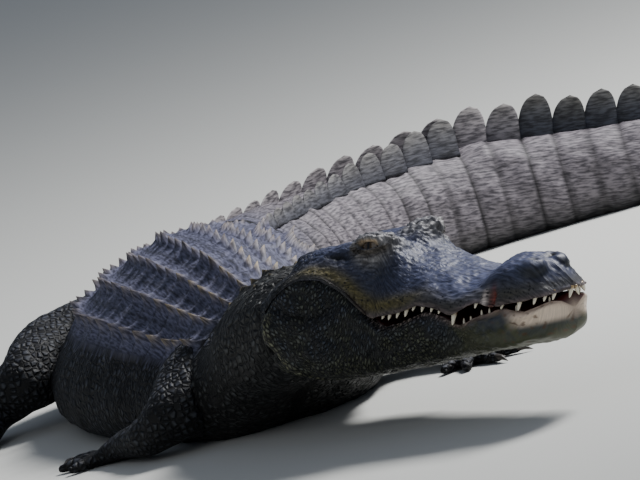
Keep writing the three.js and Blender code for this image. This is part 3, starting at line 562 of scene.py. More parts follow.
# The palate closes each ring from lip to lip with a low arch.
ROOF_POINTS = 22
ROOF_ARCH = 5
share = np.linspace(0, 1, ROOF_POINTS + 2)[1:-1]
lip_left, lip_height = skin_section(head_stations, np.full(len(head_stations), 0.25), False)
arch = ROOF_ARCH * ease(head_stations, 4, 50) * (1 - ease(head_stations, 240, 300))
roof_left = lip_left[:, None] * (1 - 2 * share)
roof_height = lip_height[:, None] + arch[:, None] * np.sin(np.pi * share) ** 0.6
rings = np.stack([
    np.concatenate([s_grid, np.repeat(head_stations[:, None], ROOF_POINTS, 1)], 1),
    np.concatenate([left_grid, roof_left], 1),
    np.concatenate([height_grid, roof_height], 1),
], -1)
outside = np.concatenate([np.ones(len(over_turns)), np.zeros(ROOF_POINTS)])
outside = outside * np.ones_like(rings[..., 0])
flat_rings = rings.copy()

# Nose: a low pad round each nostril.
for side in (1, -1):
    rings = dome(rings, np.array([NOSE_PAD[0], side * NOSE_PAD[1], NOSE_PAD[2]]), NOSE_PAD_SIZES, 4)
# Lids: a dome over each eye, sunk inside its slit as far as the ball, with a thick hood over the slit.
lid_rim = np.zeros(rings.shape[:2])
brow = np.zeros(rings.shape[:2])
slit = np.zeros(rings.shape[:2])
low_lid = np.zeros(rings.shape[:2])
for side in (1, -1):
    eye, out_way, up_way = eye_frame(side)
    rings = dome(rings, eye + (3, 0, 0), (LID_LENGTH, LID_DOME, LID_DOME), 5)
    offset = rings - eye
    facing = ease(offset @ out_way, 2, 7)
    along = offset[..., 0] / SLIT_HALF_LENGTH
    over = (offset @ up_way + 1.5) / SLIT_HALF_OPENING
    # The upper lid arches and the lower one is nearly straight.
    edge = np.where(over > 0, over - (1 - along ** 2), -over - 0.62 * (1 - along ** 2)) * SLIT_HALF_OPENING
    near = facing * (1 - ease(np.abs(along), 1.15, 1.5))
    above = near * ease(over, -0.1, 0.1)
    opening = near * (np.abs(along) < 1.2) * (1 - ease(edge, -1.4, 0.2))
    distance = np.linalg.norm(offset, axis=-1)
    hood = above * ease(edge, 0.8, 2.2) * (1 - ease(edge, 7, 19)) * (1 - 0.25 * along.clip(-1, 1))
    fold = (near - above).clip(0) * bell(edge - 5, 5) * np.cos(edge * 1.4)
    hood_rise = HOOD_THICKNESS * hood * (1 - 0.6 * ease(rings[..., 2], 129, 137))
    inward = opening * (distance - SOCKET_RADIUS).clip(0) - hood_rise - LID_FOLD_DEPTH * fold
    rings = rings - offset / np.maximum(distance, 1)[..., None] * inward[..., None]
    lid_rim = np.maximum(lid_rim, above * bell(edge - 0.1, 1.0) * (1 - ease(np.abs(along), 0.7, 1.0)))
    low_lid = np.maximum(low_lid, (near - above).clip(0) * ease(edge, 0, 1) * bell(edge - 3, 6))
    slit = np.maximum(slit, opening)
    brow = np.maximum(brow, np.maximum(hood, bell(distance - LID_DOME - 3, 9) * (1 - opening)))

# Ear slits and nostrils are grooves that sink into the skin, and their hollows are painted dark as painted
# shade.
normals = grid_normals(rings)
groove = np.zeros(rings.shape[:2])
for side in (1, -1):
    on_line = np.clip(rings[..., 0], EAR_LINE[0], EAR_LINE[1])
    level_line = np.full_like(on_line, EAR_LINE[3])
    nearest = np.stack([on_line, np.full_like(on_line, side * EAR_LINE[2]), level_line], -1)
    groove = np.maximum(groove, bell(np.linalg.norm(rings - nearest, axis=-1), 5))
    hole = np.linalg.norm(rings - np.array([NOSTRIL[0], side * NOSTRIL[1], NOSTRIL[2]]), axis=-1)
    groove = np.maximum(groove, 1.5 * bell(hole, NOSTRIL_RADIUS))
# Relief: knobs on the brows, low at their tops, cracks along the snout and pebbles on the cheeks.
# How far each point faces up: the top colour laid there is a painted blue sheen and painted sunlight.
lit_top_share = ease(normals[..., 2], 0.25, 0.95)
crown = 1 - 0.6 * ease(rings[..., 2], 126, 140)
knobs = lumps(rings, 9, 3) * (0.35 + 0.9 * brow * crown) + lumps(rings, 32, 4) * 0.8 * crown
cracked = -np.abs(lumps(rings * (0.45, 1, 1), 8, 5)) * (0.55 + 1.5 * brow)
pebbled = lumps(rings, 6, 6) * 0.3 * ease(rings[..., 0], 90, 240)
lip_gap = lip_distance(rings, head_stations, lip_left, lip_height)
tuck = mouth_fold(rings[..., 0], lip_gap)
sink = NECK_TUCK * ease(rings[..., 0], 413, HEAD_END)
scar, scar_edge = (
    bell(np.linalg.norm((rings - middle) / sizes, axis=-1), 1) for middle, sizes in (SCAR, SCAR_EDGE)
)
relief = (knobs + cracked + pebbled - 1.6 * (1 - crown)) * ease(rings[..., 0], 2, 20) * (1 - slit)
lift = relief - tuck - GROOVE_DEPTH * groove - SCAR_DEPTH * scar + SCAR_EDGE_HEIGHT * scar_edge
rings = rings + normals * (outside * lift - sink)[..., None]

# The grain is the way along the midline and round the ring, so that patterns follow the skin.
arc = np.cumsum(np.linalg.norm(np.diff(flat_rings, axis=1, prepend=flat_rings[:, :1]), axis=-1), 1)
arc -= arc[:, len(over_turns) // 2][:, None]
head_grain = np.stack([rings[..., 0], arc, np.zeros_like(arc)], -1) * MM
mouth_line = outside * bell(lip_gap, 5) * (1 - ease(rings[..., 0], 250, 280))
pore_band = outside * bell(lip_gap - 13, 11)
nape = ease(rings[..., 0], 330, 405)
head_masks = {
    "grain": head_grain,
    "cells": outside * np.clip(0.3 * ease(rings[..., 0], 120, 240) + nape, 0, 1) * (1 - slit),
    # The ear slits, nostrils and eye openings are painted dark as painted shade.
    "joint_and_crease_shade": np.clip(groove + slit, 0, 1) * outside,
    # brow: pale grey, partly the dry horn of the brows and lids and partly painted sunlight on them.
    "brow": brow * outside,
    "lid_rim": lid_rim * outside,
    "low_lid": low_lid * outside,
    "olive": pore_band * (1 - nape) * (0.3 + 0.7 * ease(rings[..., 0], 150, 230)),
    "pores": pore_band * (1 - nape),
    "scar": scar * outside,
    "scar_edge": scar_edge * outside,
    "lip": mouth_line,
    "mouth": 1 - outside,
    # top: a painted blue sheen and painted sunlight on the upward faces.
    "top": outside * lit_top_share * (1 - nape),
}
# Tight hide over bone, worn and dry: slate, lighter and bluer on the upward faces as a painted sheen and
# painted sunlight, and olive at the lip.
head_hide = hide_material(
    "hide_tight_over_skull", "#060709", "#1c2028", "#3d424e",
    [("top", "#585e80", 0.75), ("olive", "#756a34", 0.8), ("brow", "#a3a09e", 0.75),
     ("low_lid", "#4d4231", 0.8), ("lid_rim", "#e2c59c", 1.0), ("lip", "#84736a", 0.6),
     ("scar", "#8f4236", 0.95), ("scar_edge", "#e6d8cd", 0.95), ("mouth", "#3c1512", 1.0)],
    5, 1.2, 0.46, 0.7,
)
piece("head_hide", [(loft(place(rings[..., 0], rings[..., 1], rings[..., 2])), head_masks)],
      head_hide, ["head"])

# Hide of the lower jaw: looser skin with 5 mm scales over the bulging jaw muscle, cream at the chin's tip.
# Its top is the floor of the mouth, with the low tongue along it.
JAW_INSET = 9
INSET_FADE = (262, 350)
FLOOR_POINTS = 22
FLOOR_DEPTH = 7
TONGUE_HEIGHT = 5
GUM_GAP = 1.5
RIM_HEIGHT = 3.4
NECK_GROOVE_DEPTH = 2.4
CHEEK_FOLD_DEPTH = 3.0
JAW_FOLD = [(295, 79), (307, 66), (330, 58), (351, 60), (366, 66), (392, 80)]
jaw_stations = np.linspace(6, HEAD_END, 210)
jaw_turns = np.linspace(0.25, 0.75, 130)
s_grid, turn_grid = np.meshgrid(jaw_stations, jaw_turns, indexing="ij")
left_grid, height_grid = skin_section(s_grid, turn_grid, True)
pull = JAW_INSET * (ease(jaw_stations, 0, 20) - ease(jaw_stations, *INSET_FADE))
# Near the lip the skin stands in by JAW_INSET, so that the upper teeth pass outside it.
near_lip = 1 - ease(0.25 - np.abs(turn_grid - 0.5), 0, 0.04)
left_grid = left_grid - np.sign(left_grid) * pull[:, None] * near_lip
share = np.linspace(0, 1, FLOOR_POINTS + 2)[1:-1]
# The floor of the mouth dips between the gums, with the tongue raised along its middle.
floor_dip = FLOOR_DEPTH * ease(jaw_stations, 10, 50) * (1 - ease(jaw_stations, 230, 290))
tongue = TONGUE_HEIGHT * ease(jaw_stations, 70, 120)
end_left, end_height = left_grid[:, -1], height_grid[:, -1]
floor_left = end_left[:, None] * (1 - 2 * share)
dip = np.sin(np.pi * share) ** 0.5 - tongue[:, None] / FLOOR_DEPTH * bell(share - 0.5, 0.22)
gums = (smooth(MOUTH_OPEN, jaw_stations / SKULL) * SKULL - GUM_GAP).clip(0)
gums = gums * (1 - ease(jaw_stations, 120, 190))
floor_height = end_height[:, None] - floor_dip[:, None] * dip
floor_height = floor_height + (gums + floor_dip * ease(gums, 0, 6))[:, None] * bell(share - 0.5, 0.3)
jaw = np.stack([
    np.concatenate([s_grid, np.repeat(jaw_stations[:, None], FLOOR_POINTS, 1)], 1),
    np.concatenate([left_grid, floor_left], 1),
    np.concatenate([height_grid, floor_height], 1),
], -1)
outside = np.concatenate([np.ones(len(jaw_turns)), np.zeros(FLOOR_POINTS)])
outside = outside * np.ones_like(jaw[..., 0])
lip_gap = lip_distance(jaw, jaw_stations, end_left, end_height)
# Loose folds, the fold under the cheek, and the pale rim at the back of the jaw muscle with a groove
# between it and the neck.
folds = lumps(jaw * (0.35, 1, 1), 20, 7) * 1.1 + lumps(jaw, 11, 8) * 0.6
tuck = mouth_fold(jaw[..., 0], lip_gap)
half_turn = np.concatenate([np.minimum(turn_grid, 1 - turn_grid), np.zeros_like(floor_left) + 0.2], 1)
on_bulge = outside * ease(half_turn, 0.255, 0.29) * (1 - ease(half_turn, 0.43, 0.48))
behind_rim = jaw[..., 0] - (401 - 1500 * (half_turn - 0.3) ** 2)
rim = on_bulge * bell(behind_rim, 7)
fold_height = straight(JAW_FOLD, jaw[..., 0])
lobe = on_bulge * bell(jaw[..., 2] - fold_height, 4)
lobe = lobe * ease(jaw[..., 0], 292, 312) * (1 - ease(jaw[..., 0], 380, 396))
neck_groove = on_bulge * bell(behind_rim - 12, 5)
moulded = RIM_HEIGHT * rim - NECK_GROOVE_DEPTH * neck_groove - CHEEK_FOLD_DEPTH * lobe
blotch = ease(lumps(jaw, 34, 17) + 0.6 * lumps(jaw, 9, 18), -0.6, 1.2)
sink = NECK_TUCK * ease(jaw[..., 0], 413, HEAD_END)
arc = np.cumsum(np.linalg.norm(np.diff(jaw, axis=1, prepend=jaw[:, :1]), axis=-1), 1)
jaw_masks = {
    "grain": np.stack([jaw[..., 0], arc + 300, np.zeros_like(arc)], -1) * MM,
    "cells": outside * ease(jaw[..., 0], 70, 200),
    # The fold under the cheek and the groove before the neck are painted dark as painted shade.
    "joint_and_crease_shade": 0.9 * np.clip(lobe + neck_groove, 0, 1),
    "cream": outside * (1 - ease(jaw[..., 0], 45, 75)) * ease(jaw[..., 2], 4, 13),
    "spots": outside * (1 - ease(jaw[..., 0], 60, 110)) * ease(lumps(jaw, 8, 19), 0.9, 1.3),
    "olive": outside * np.clip(ease(-jaw[..., 2], -30, 20) + 0.75 * blotch, 0, 1),
    "rim": rim,
    "lip": outside * bell(lip_gap, 5) * (1 - ease(jaw[..., 0], 250, 280)),
    "mouth": 1 - outside,
}
lift = outside * (folds * ease(jaw[..., 0], 8, 60) - tuck + moulded)
jaw = jaw + grid_normals(jaw) * (lift - sink)[..., None]
# Soft scaled skin, a little moist: slate with olive blotches, going cream where the chin is unscaled.
jaw_hide = hide_material(
    "hide_loose_over_jaw", "#07080a", "#2a303c", "#474e58",
    [("olive", "#4f5030", 0.75), ("rim", "#8b8a68", 0.75), ("cream", "#e6d2bc", 1.0),
     ("spots", "#59402c", 0.7), ("lip", "#a08a7e", 0.6), ("mouth", "#4a201c", 1.0)],
    5.2, 2.2, 0.42, 0.25, 1.15,
)
piece("jaw_hide", [(loft(place(jaw[..., 0], jaw[..., 1], jaw[..., 2])), jaw_masks)],
      jaw_hide, ["lower_jaw"])

# Teeth: cones of enamel set in the jaw bone, the longest where the snout is widest. The upper ones stand
# outside the lower jaw, as in every alligator.
UPPER_TEETH = [
    (2, 9), (11, 7), (18, 6), (27, 7), (44, 9), (68, 5), (100, 6), (132, 13), (152, 5.5), (164, 6), (179, 8),
    (192, 4), (203, 6.5), (214, 6), (225, 6), (234, 4),
]
LOWER_TEETH = [(20, 6), (58, 6), (94, 5), (103, 5.5), (117, 5), (127, 6), (143, 5)]
TOOTH_RINGS, TOOTH_ROUND = 9, 12
crown_mask = np.linspace(0, 1, TOOTH_RINGS)[:, None] * np.ones((TOOTH_RINGS, TOOTH_ROUND))
tooth_draw = np.random.default_rng(11)


def cone(root, tip, thick):
    """A circle carried along a slightly bowed line, its radius falling as the square root of what is left."""
    share = np.linspace(0, 1, TOOTH_RINGS)
    way = tip - root
    side = np.array([way[2], 0, -way[0]]) / np.linalg.norm(way)
    middle = root + way * share[:, None] + side * (0.08 * np.linalg.norm(way) * share ** 2)[:, None]
    radius = thick * np.sqrt(1 - share * 0.985)
    turn = np.arange(TOOTH_ROUND) / TOOTH_ROUND * 2 * np.pi
    first = np.cross(way, [0.3, 0.9, 0.1])
    first /= np.linalg.norm(first)
    second = np.cross(way, first) / np.linalg.norm(way)
    circle = np.cos(turn)[:, None] * first + np.sin(turn)[:, None] * second
    return middle[:, None] + radius[:, None, None] * circle


tooth_shells = []
for side in (1, -1):
    for s, length in UPPER_TEETH:
        length *= 1 + 0.1 * tooth_draw.uniform(-1, 1)
        thick = 2.0 + length * 0.13
        out, height = (float(v) for v in skin_section(s, 0.25, False))
        root = place(s, side * (out - thick - 5), height + 3)
        tip = place(s, side * (out - 3), height - length)
        tooth_shells.append((loft(cone(root, tip, thick)), {"crown": crown_mask}))
    for s, length in LOWER_TEETH:
        out, height = (float(v) for v in skin_section(s, 0.25, False))
        gap = float(smooth(MOUTH_OPEN, s / SKULL)) * SKULL
        inward = out - JAW_INSET - 5
        root = place(s, side * inward, height - gap - 7)
        tip = place(s, side * inward, height - max(gap - length, 1.5))
        tooth_shells.append((loft(cone(root, tip, 2.4)), {"crown": crown_mask}))
# Enamel, polished by wear: glossy ivory, browner where the gum stains the root.
enamel, tree = new_material("enamel_worn")
crown = add_node(tree, "ShaderNodeAttribute", {"attribute_name": "crown"}).outputs["Fac"]
fleck = add_node(tree, "ShaderNodeTexNoise", None, {"Scale": 300.0, "Detail": 3.0}).outputs["Fac"]
stain = add_node(
    tree, "ShaderNodeMapRange", None, {"Value": crown, "From Min": 0.15, "From Max": 0.4},
).outputs[0]
ivory = add_node(tree, "ShaderNodeMix", {"data_type": "RGBA"},
                 {0: fleck, 6: colour("#f4eedd"), 7: colour("#e2d6b8")}).outputs[2]
paint = add_node(tree, "ShaderNodeMix", {"data_type": "RGBA"},
                 {0: stain, 6: colour("#a98f66"), 7: ivory}).outputs[2]
close_material(tree, {"Base Color": paint, "Roughness": 0.22, "IOR": 1.6})
piece("teeth", tooth_shells, enamel)

# Eyes: a polished glass ball each, set in its socket with most of it behind the lids. The iris is bronze,
# painted dark as painted shade under the hood, round an upright slit pupil.
BALL_RINGS, BALL_ROUND = 48, 64
POLE_GAP = 0.02
latitude, turn = np.meshgrid(
    np.linspace(POLE_GAP, np.pi - POLE_GAP, BALL_RINGS), np.arange(BALL_ROUND) / BALL_ROUND * 2 * np.pi,
    indexing="ij",
)
glass, tree = new_material("glass_eye_polished")
iris = add_node(tree, "ShaderNodeAttribute", {"attribute_name": "iris"}).outputs["Fac"]
pupil = add_node(tree, "ShaderNodeAttribute", {"attribute_name": "pupil"}).outputs["Fac"]
veins = add_node(tree, "ShaderNodeTexNoise", None, {"Scale": 900.0, "Detail": 4.0}).outputs["Fac"]
# The iris bronze is kept dark as painted shade under the hooded lids.
bronze_in_painted_shade = add_node(tree, "ShaderNodeMix", {"data_type": "RGBA"},
                  {0: veins, 6: colour("#1d150b"), 7: colour("#4d3a1a")}).outputs[2]
paint = add_node(tree, "ShaderNodeMix", {"data_type": "RGBA"},
                 {0: iris, 6: colour("#1b1510"), 7: bronze_in_painted_shade}).outputs[2]
paint = add_node(tree, "ShaderNodeMix", {"data_type": "RGBA"},
                 {0: pupil, 6: paint, 7: colour("#050505")}).outputs[2]
close_material(tree, {"Base Color": paint, "Roughness": 0.1, "IOR": 1.4, "Coat Weight": 0.3})
for side, word in ((1, "left"), (-1, "right")):
    eye, out_way, up_way = eye_frame(side)
    cross_way = np.cross(up_way, out_way)
    unit = (np.cos(latitude)[..., None] * out_way + (np.sin(latitude) * np.cos(turn))[..., None] * cross_way
            + (np.sin(latitude) * np.sin(turn))[..., None] * up_way)
    ball = eye + EYE_RADIUS * unit
    flat_x, flat_y = unit @ cross_way, unit @ up_way
    eye_masks = {
        "iris": 1 - ease(latitude, 0.72, 0.8),
        "pupil": (1 - ease(np.hypot(flat_x / 0.12, flat_y / 0.62), 0.85, 1.1)) * (latitude < 1.2),
    }
    piece("eye_ball_" + word, [(loft(place(ball[..., 0], ball[..., 1], ball[..., 2])), eye_masks)],
          glass, ["eye_" + word])

# Hide of neck, trunk and tail in one skin: bony scutes under horn, each with a keel that rises to its rear,
# in rows across the back; small polygon scales on neck and flank; whorls of oblong scales round the tail.
BODY_START = 411
ROW_PITCH = 35
FIRST_ROW = 628
ROW_COUNT = 19
COLUMNS = 4
SHIELD_HALF_WIDTH = [
    (600, 84), (700, 110), (800, 133), (900, 153), (1000, 165), (1100, 156), (1225, 120), (1320, 88),
]
KEEL_HEIGHTS = np.array([15, 16, 17, 19])
INNER_KEELS = [(950, 1), (1250, 0.45)]
KEEL_PEAK = 0.82
SCUTE_SEAM_DEPTH = 0.7
NUCHAL_SLOPE = 0.34
WHORL_RISE = 2.2
TAIL_SINK = 4.8
NUCHAL_SCUTES = [
    (498, 19, 34, 30), (498, 50, 28, 26), (535, 20, 36, 32), (535, 54, 26, 24), (570, 18, 28, 28),
    (452, 22, 16, 17), (450, 44, 14, 15), (452, 64, 13, 14),
]
CREST_START = 1310
CREST_JOIN = 1760
CREST_END = 2520
CREST_SPACING = [(1290, 37), (1800, 42), (2200, 34), (2520, 21)]
TAIL_SCALE_ROWS = 7

crest_stations = []
s = CREST_START
while s < CREST_END:
    crest_stations.append(s)
    s += float(straight(CREST_SPACING, s))
crest_stations = np.array(crest_stations)
whorl_edges = np.concatenate([
    [crest_stations[0] - 18.5], (crest_stations[1:] + crest_stations[:-1]) / 2, [CREST_END + 11],
])


def turn_at(s, left):
    """Turn at which the back's superellipse stands this far from the midline: its power and sine undone."""
    share = np.minimum(np.abs(left) / smooth(HALF_WIDTH, s), 0.98)
    turn = np.arcsin(share ** (1 / smooth(BACK_POWER, s))) / (2 * np.pi)
    return np.where(left >= 0, turn, 1 - turn)


def keel_shape(u, v):
    """A scute's keel: from 0.2 at its front it rises to 1 at KEEL_PEAK of its length, then falls to 0.2.
    Across, it is a low tent with a thin ridge on it, the fifth power of the tent."""
    front = 0.2 + 0.8 * (np.clip(u, 0, KEEL_PEAK) / KEEL_PEAK) ** 1.5
    rear = 1 - 0.8 * (np.clip(u - KEEL_PEAK, 0, 1 - KEEL_PEAK) / (1 - KEEL_PEAK)) ** 1.2
    tent = np.clip(1 - np.abs(v) * 2, 0, 1)
    return np.where(u < KEEL_PEAK, front, rear) * (0.2 * tent + 0.8 * tent ** 5)


body_stations = np.concatenate([
    np.arange(BODY_START, FIRST_ROW - ROW_PITCH / 2, 2.5),
    np.arange(FIRST_ROW - ROW_PITCH / 2, 1291, 2.5),
    np.linspace(1291, TAIL_TIP - 1, 262),
])
back_shares = np.linspace(-1, 1, 8 * 8 + 1)
flank_shares = np.linspace(0, 1, 44)[1:-1]
column_edge = np.minimum(smooth(SHIELD_HALF_WIDTH, body_stations), 0.8 * smooth(HALF_WIDTH, body_stations))
back_turns = turn_at(body_stations[:, None], back_shares * column_edge[:, None])
edge_turn = turn_at(body_stations, column_edge)[:, None]
left_turns = edge_turn + (0.5 - edge_turn) * flank_shares
belly_turns = np.full((len(body_stations), 1), 0.5)
turn_grid = np.concatenate([back_turns, left_turns, belly_turns, 1 - left_turns[:, ::-1]], 1)
s_grid = np.repeat(body_stations[:, None], turn_grid.shape[1], 1)
left_grid, height_grid = skin_section(s_grid, turn_grid)
body = place(s_grid, left_grid, height_grid)
on_back = (np.arange(turn_grid.shape[1]) < len(back_shares))[None, :] * 1.0

# Scutes: each point's place in its row, u, and in its column, v.
share_across = left_grid / column_edge[:, None]
row = (s_grid - FIRST_ROW + ROW_PITCH / 2) / ROW_PITCH
in_rows = on_back * (row >= 0) * (row < ROW_COUNT)
row_index = np.clip(row.astype(int), 0, ROW_COUNT - 1)
column = np.clip((share_across + 1) * COLUMNS, 0, 2 * COLUMNS - 1e-6)
column_index = column.astype(int)
u, v = row - row_index, column - column_index - 0.5
from_middle = np.where(column_index < COLUMNS, COLUMNS - 1 - column_index, column_index - COLUMNS)
vary = 1 + 0.14 * np.random.default_rng(5).uniform(-1, 1, (ROW_COUNT, 2 * COLUMNS))
keel_height = KEEL_HEIGHTS[from_middle] * vary[row_index, column_index]
keel_height = keel_height * np.where(from_middle < 2, smooth(INNER_KEELS, s_grid), 1)
keel = in_rows * keel_shape(u, v)
plate_edge = np.minimum(np.minimum(u, 1 - u) * ROW_PITCH, (0.5 - np.abs(v)) * column_edge[:, None] / COLUMNS)
scute_seam = in_rows * bell(plate_edge, 1.3)
lift = keel * keel_height - scute_seam * SCUTE_SEAM_DEPTH

for station, left, length, width in NUCHAL_SCUTES:
    for side in (1, -1):
        nuchal_u = (s_grid - station) / length + 0.5
        nuchal_v = (left_grid - side * left) / width
        inside = (nuchal_u > 0) * (nuchal_u < 1) * (np.abs(nuchal_v) < 0.5) * (height_grid > 60)
        bump = inside * keel_shape(np.clip(nuchal_u, 0, 1), nuchal_v)
        lift = np.maximum(lift, bump * length * NUCHAL_SLOPE)
        keel = np.maximum(keel, bump)

# Whorls: the distance to the nearest seam round the tail and along it.
whorl = np.clip(np.searchsorted(whorl_edges, s_grid) - 1, 0, len(whorl_edges) - 2)
to_edge = np.minimum(s_grid - whorl_edges[whorl], whorl_edges[whorl + 1] - s_grid)
around_tail = np.minimum(turn_grid, 1 - turn_grid) * 2 * TAIL_SCALE_ROWS
to_row = np.abs(around_tail - np.round(around_tail)) / TAIL_SCALE_ROWS * smooth(BACK, s_grid)
on_tail = ease(s_grid, 1285, 1300)
tail_seam = on_tail * np.maximum(bell(to_edge, 3.0), 0.3 * bell(to_row, 1.4))
lift = lift + on_tail * (WHORL_RISE * (1 - tail_seam) - TAIL_SINK)

normals = grid_normals(body)
girth = lumps(body, 60, 12) * 1.6 + lumps(body, 16, 13) * 0.5
taper = np.clip(smooth(HALF_WIDTH, s_grid) / 40, 0.1, 1)
sink = NECK_TUCK * (1 - ease(s_grid, BODY_START, 421))
arc = np.cumsum(np.linalg.norm(np.diff(body, axis=1, prepend=body[:, :1]), axis=-1), 1)
arc -= arc[:, len(back_shares) // 2][:, None]
arc = np.where(turn_grid > 0.5 + 1e-6, np.where(on_back > 0, arc, arc - arc[:, -1:] + arc[:, :1]), arc)
upper = ease(height_grid - smooth(WIDEST, s_grid), 0, 25)
shield = upper * (1 - ease(np.abs(share_across), 0.95, 1.14)) * ease(s_grid, 565, 650)
body_masks = {
    "grain": np.stack([s_grid, arc, np.zeros_like(arc)], -1) * MM,
    "cells": np.clip((1 - in_rows) * (1 - on_tail) * (1 - keel), 0, 1),
    # Painted shade: the trunk's sides and belly go near black between the legs.
    "shaded_flank": ease(s_grid, 580, 680) * (1 - ease(s_grid, 1230, 1420)),
    "joint_and_crease_shade": np.clip(0.45 * scute_seam + 0.8 * tail_seam, 0, 1),
    # keel: cream of worn keel tops, brightened by a painted highlight, strongest on the front rows.
    "keel": keel ** 2.5 * (1 - 0.6 * ease(s_grid, 700, 820)),
    # back: grey-lavender of the dry shield, lightened by painted sunlight.
    "back": shield * (1 - ease(s_grid, 1270, 1480)),
    # tail: pale grey on the tail's upper side, lightened by painted sunlight.
    "tail": ease(s_grid, 1220, 1460) * ease(height_grid, -8, 45),
    "olive": (1 - ease(s_grid, 560, 640)) * 0.8,
}
LIMB_RING = 28
JOIN_REACH = 34
FRONT_RIGHT = [
    (650, 60, 74, 42, 44), (640, 104, 66, 38, 40), (612, 136, 44, 32, 32), (630, 162, 30, 27, 24),
    (690, 184, 20, 22, 16), (722, 198, 11, 26, 11),
]
FRONT_LEFT = [
    (650, 60, 70, 42, 44), (672, 112, 70, 38, 40), (716, 160, 56, 32, 34), (690, 192, 38, 26, 26),
    (650, 206, 22, 23, 17), (624, 216, 11, 27, 11),
]
HIND_RIGHT = [
    (1225, 50, 70, 60, 50), (1200, 120, 78, 54, 48), (1135, 184, 80, 44, 44), (1074, 222, 62, 34, 36),
    (1092, 264, 34, 26, 24), (1054, 296, 12, 34, 12),
]
HIND_LEFT = [
    (1225, 50, 60, 56, 42), (1195, 120, 54, 52, 38), (1140, 180, 42, 42, 34), (1165, 218, 30, 34, 26),
    (1196, 236, 22, 28, 18), (1164, 262, 11, 32, 11),
]
LIMBS = [
    ("front", "right", FRONT_RIGHT, -1), ("front", "left", FRONT_LEFT, 1),
    ("hind", "right", HIND_RIGHT, -1), ("hind", "left", HIND_LEFT, 1),
]


def limb_line(rows, side, count):
    """Middle line, half width and half height of a limb, smooth through its rows."""
    share = np.linspace(0, 1, count)
    knots = np.linspace(0, 1, len(rows))
    value = [smooth(list(zip(knots, column)), share) for column in zip(*rows)]
    return place(value[0], side * value[1], value[2]), value[3], value[4]


def joining(distance):
    """Polynomial smooth union: how far a surface swells where another one is this near."""
    return np.clip(1 - np.abs(distance) / JOIN_REACH, 0, 1) ** 2 * JOIN_REACH / 4


swell = np.zeros(s_grid.shape)
for _, _, rows, side in LIMBS:
    middle, wide, high = limb_line(rows, side, 40)
    reach = np.min(
        [np.linalg.norm(body - m, axis=-1) - r for m, r in zip(middle[:28], (wide + high)[:28] / 2)], axis=0,
    )
    swell = np.maximum(swell, joining(reach))
body_swollen = body + normals * swell[..., None]
body = body_swollen + normals * ((lift + girth) * taper - sink)[..., None]
body[..., 2] = np.maximum(body[..., 2], 0)
# Horn over bone, sun-dried: matt grey-lavender with fine striations, lightened on the back and tail by
# painted sunlight; cream on worn keels, with a painted highlight on their tops; near black on the sides and
# below as painted shade.
body_hide = hide_material(
    "hide_scuted_dry", "#030304", "#24262a", "#3a3b37",
    [("olive", "#343329", 0.5), ("shaded_flank", "#151922", 0.8), ("back", "#686981", 0.9),
     ("tail", "#8f888e", 0.9), ("keel", "#d9c290", 0.9)],
    9.5, 3.4, 0.58, 0.9, 1.3,
)
piece("body_hide", [(loft(body), body_masks)], body_hide,
      ["neck", "torso_front", "torso_rear", "tail_base", "tail_middle", "tail_end"])

# Tail crest: upright horn blades with blunt tops, two rows that close in and become one, each blade
# rooted in the hide over one whorl of scales.
CREST_HEIGHT = [
    (1290, 13), (1500, 22), (1650, 36), (1780, 50), (1950, 46), (2200, 34), (2400, 20), (2520, 8),
]
CREST_OUT = [(1290, 58), (1500, 40), (1700, 24), (1760, 14)]
BLADE_ROOT = 9
BLADE_RINGS, BLADE_ROUND = 13, 16


def crest_blade(s, left, length, height, thick):
    """Flat ovals stacked upwards and leaning back. Their length falls as the root of one less a power of
    the height, to a blunt top."""
    turn = turn_at(s, left)
    here = place(s, *skin_section(s, turn))
    back = place(s + 3, *skin_section(s + 3, turn)) - place(s - 3, *skin_section(s - 3, turn))
    stretch = np.linalg.norm(back) / 6
    back /= np.linalg.norm(back)
    up = np.array([0, 0, 1.0]) + 0.25 * np.array([-back[1], back[0], 0]) * np.sign(left)
    up /= np.linalg.norm(up)
    across = np.cross(up, back)
    across /= np.linalg.norm(across)
    share = np.linspace(0, 1, BLADE_RINGS)
    rise = -BLADE_ROOT + (height + BLADE_ROOT) * share
    fall = np.clip(1 - share ** 3.4, 0.0004, 1) ** 0.5
    half = length * stretch / 2 * fall * (1.13 - 0.1 * share)
    wide = thick / 2 * (1.25 - 0.85 * share) * fall
    lean = 0.3 * length * share ** 1.6
    turn = np.arange(BLADE_ROUND) / BLADE_ROUND * 2 * np.pi
    flat = np.sign(np.cos(turn)) * np.abs(np.cos(turn)) ** 0.7
    rings = (here + (half[:, None] * flat + lean[:, None])[..., None] * back
             + (wide[:, None] * np.sin(turn))[..., None] * across + rise[:, None, None] * up)
    ring = np.ones((BLADE_RINGS, BLADE_ROUND))
    tip = share[:, None] * ring
    masks = {
        "grain": np.stack([half[:, None] * flat, rise[:, None] * ring, s * ring], -1) * MM,
        "tip": tip ** 2,
        "root": (1 - tip) ** 3,
        # pale: painted sunlight on the right-hand and single-row blades towards the tail's root, faint on the
        # left row.
        "pale": float(1 - ease(s, 1780, 1870)) * (1.0 if left <= 0 else 0.15) * ring,
    }
    return loft(rings), masks


blades = []
blade_draw = np.random.default_rng(15)
for s in crest_stations:
    length = float(straight(CREST_SPACING, s)) * 0.98
    height = float(smooth(CREST_HEIGHT, s)) * (1 - 0.16 * blade_draw.uniform())
    outs = [0.0] if s > CREST_JOIN else [float(smooth(CREST_OUT, s)), -float(smooth(CREST_OUT, s))]
    blades += [crest_blade(s, left, length, height, 9 if s > CREST_JOIN else 8) for left in outs]
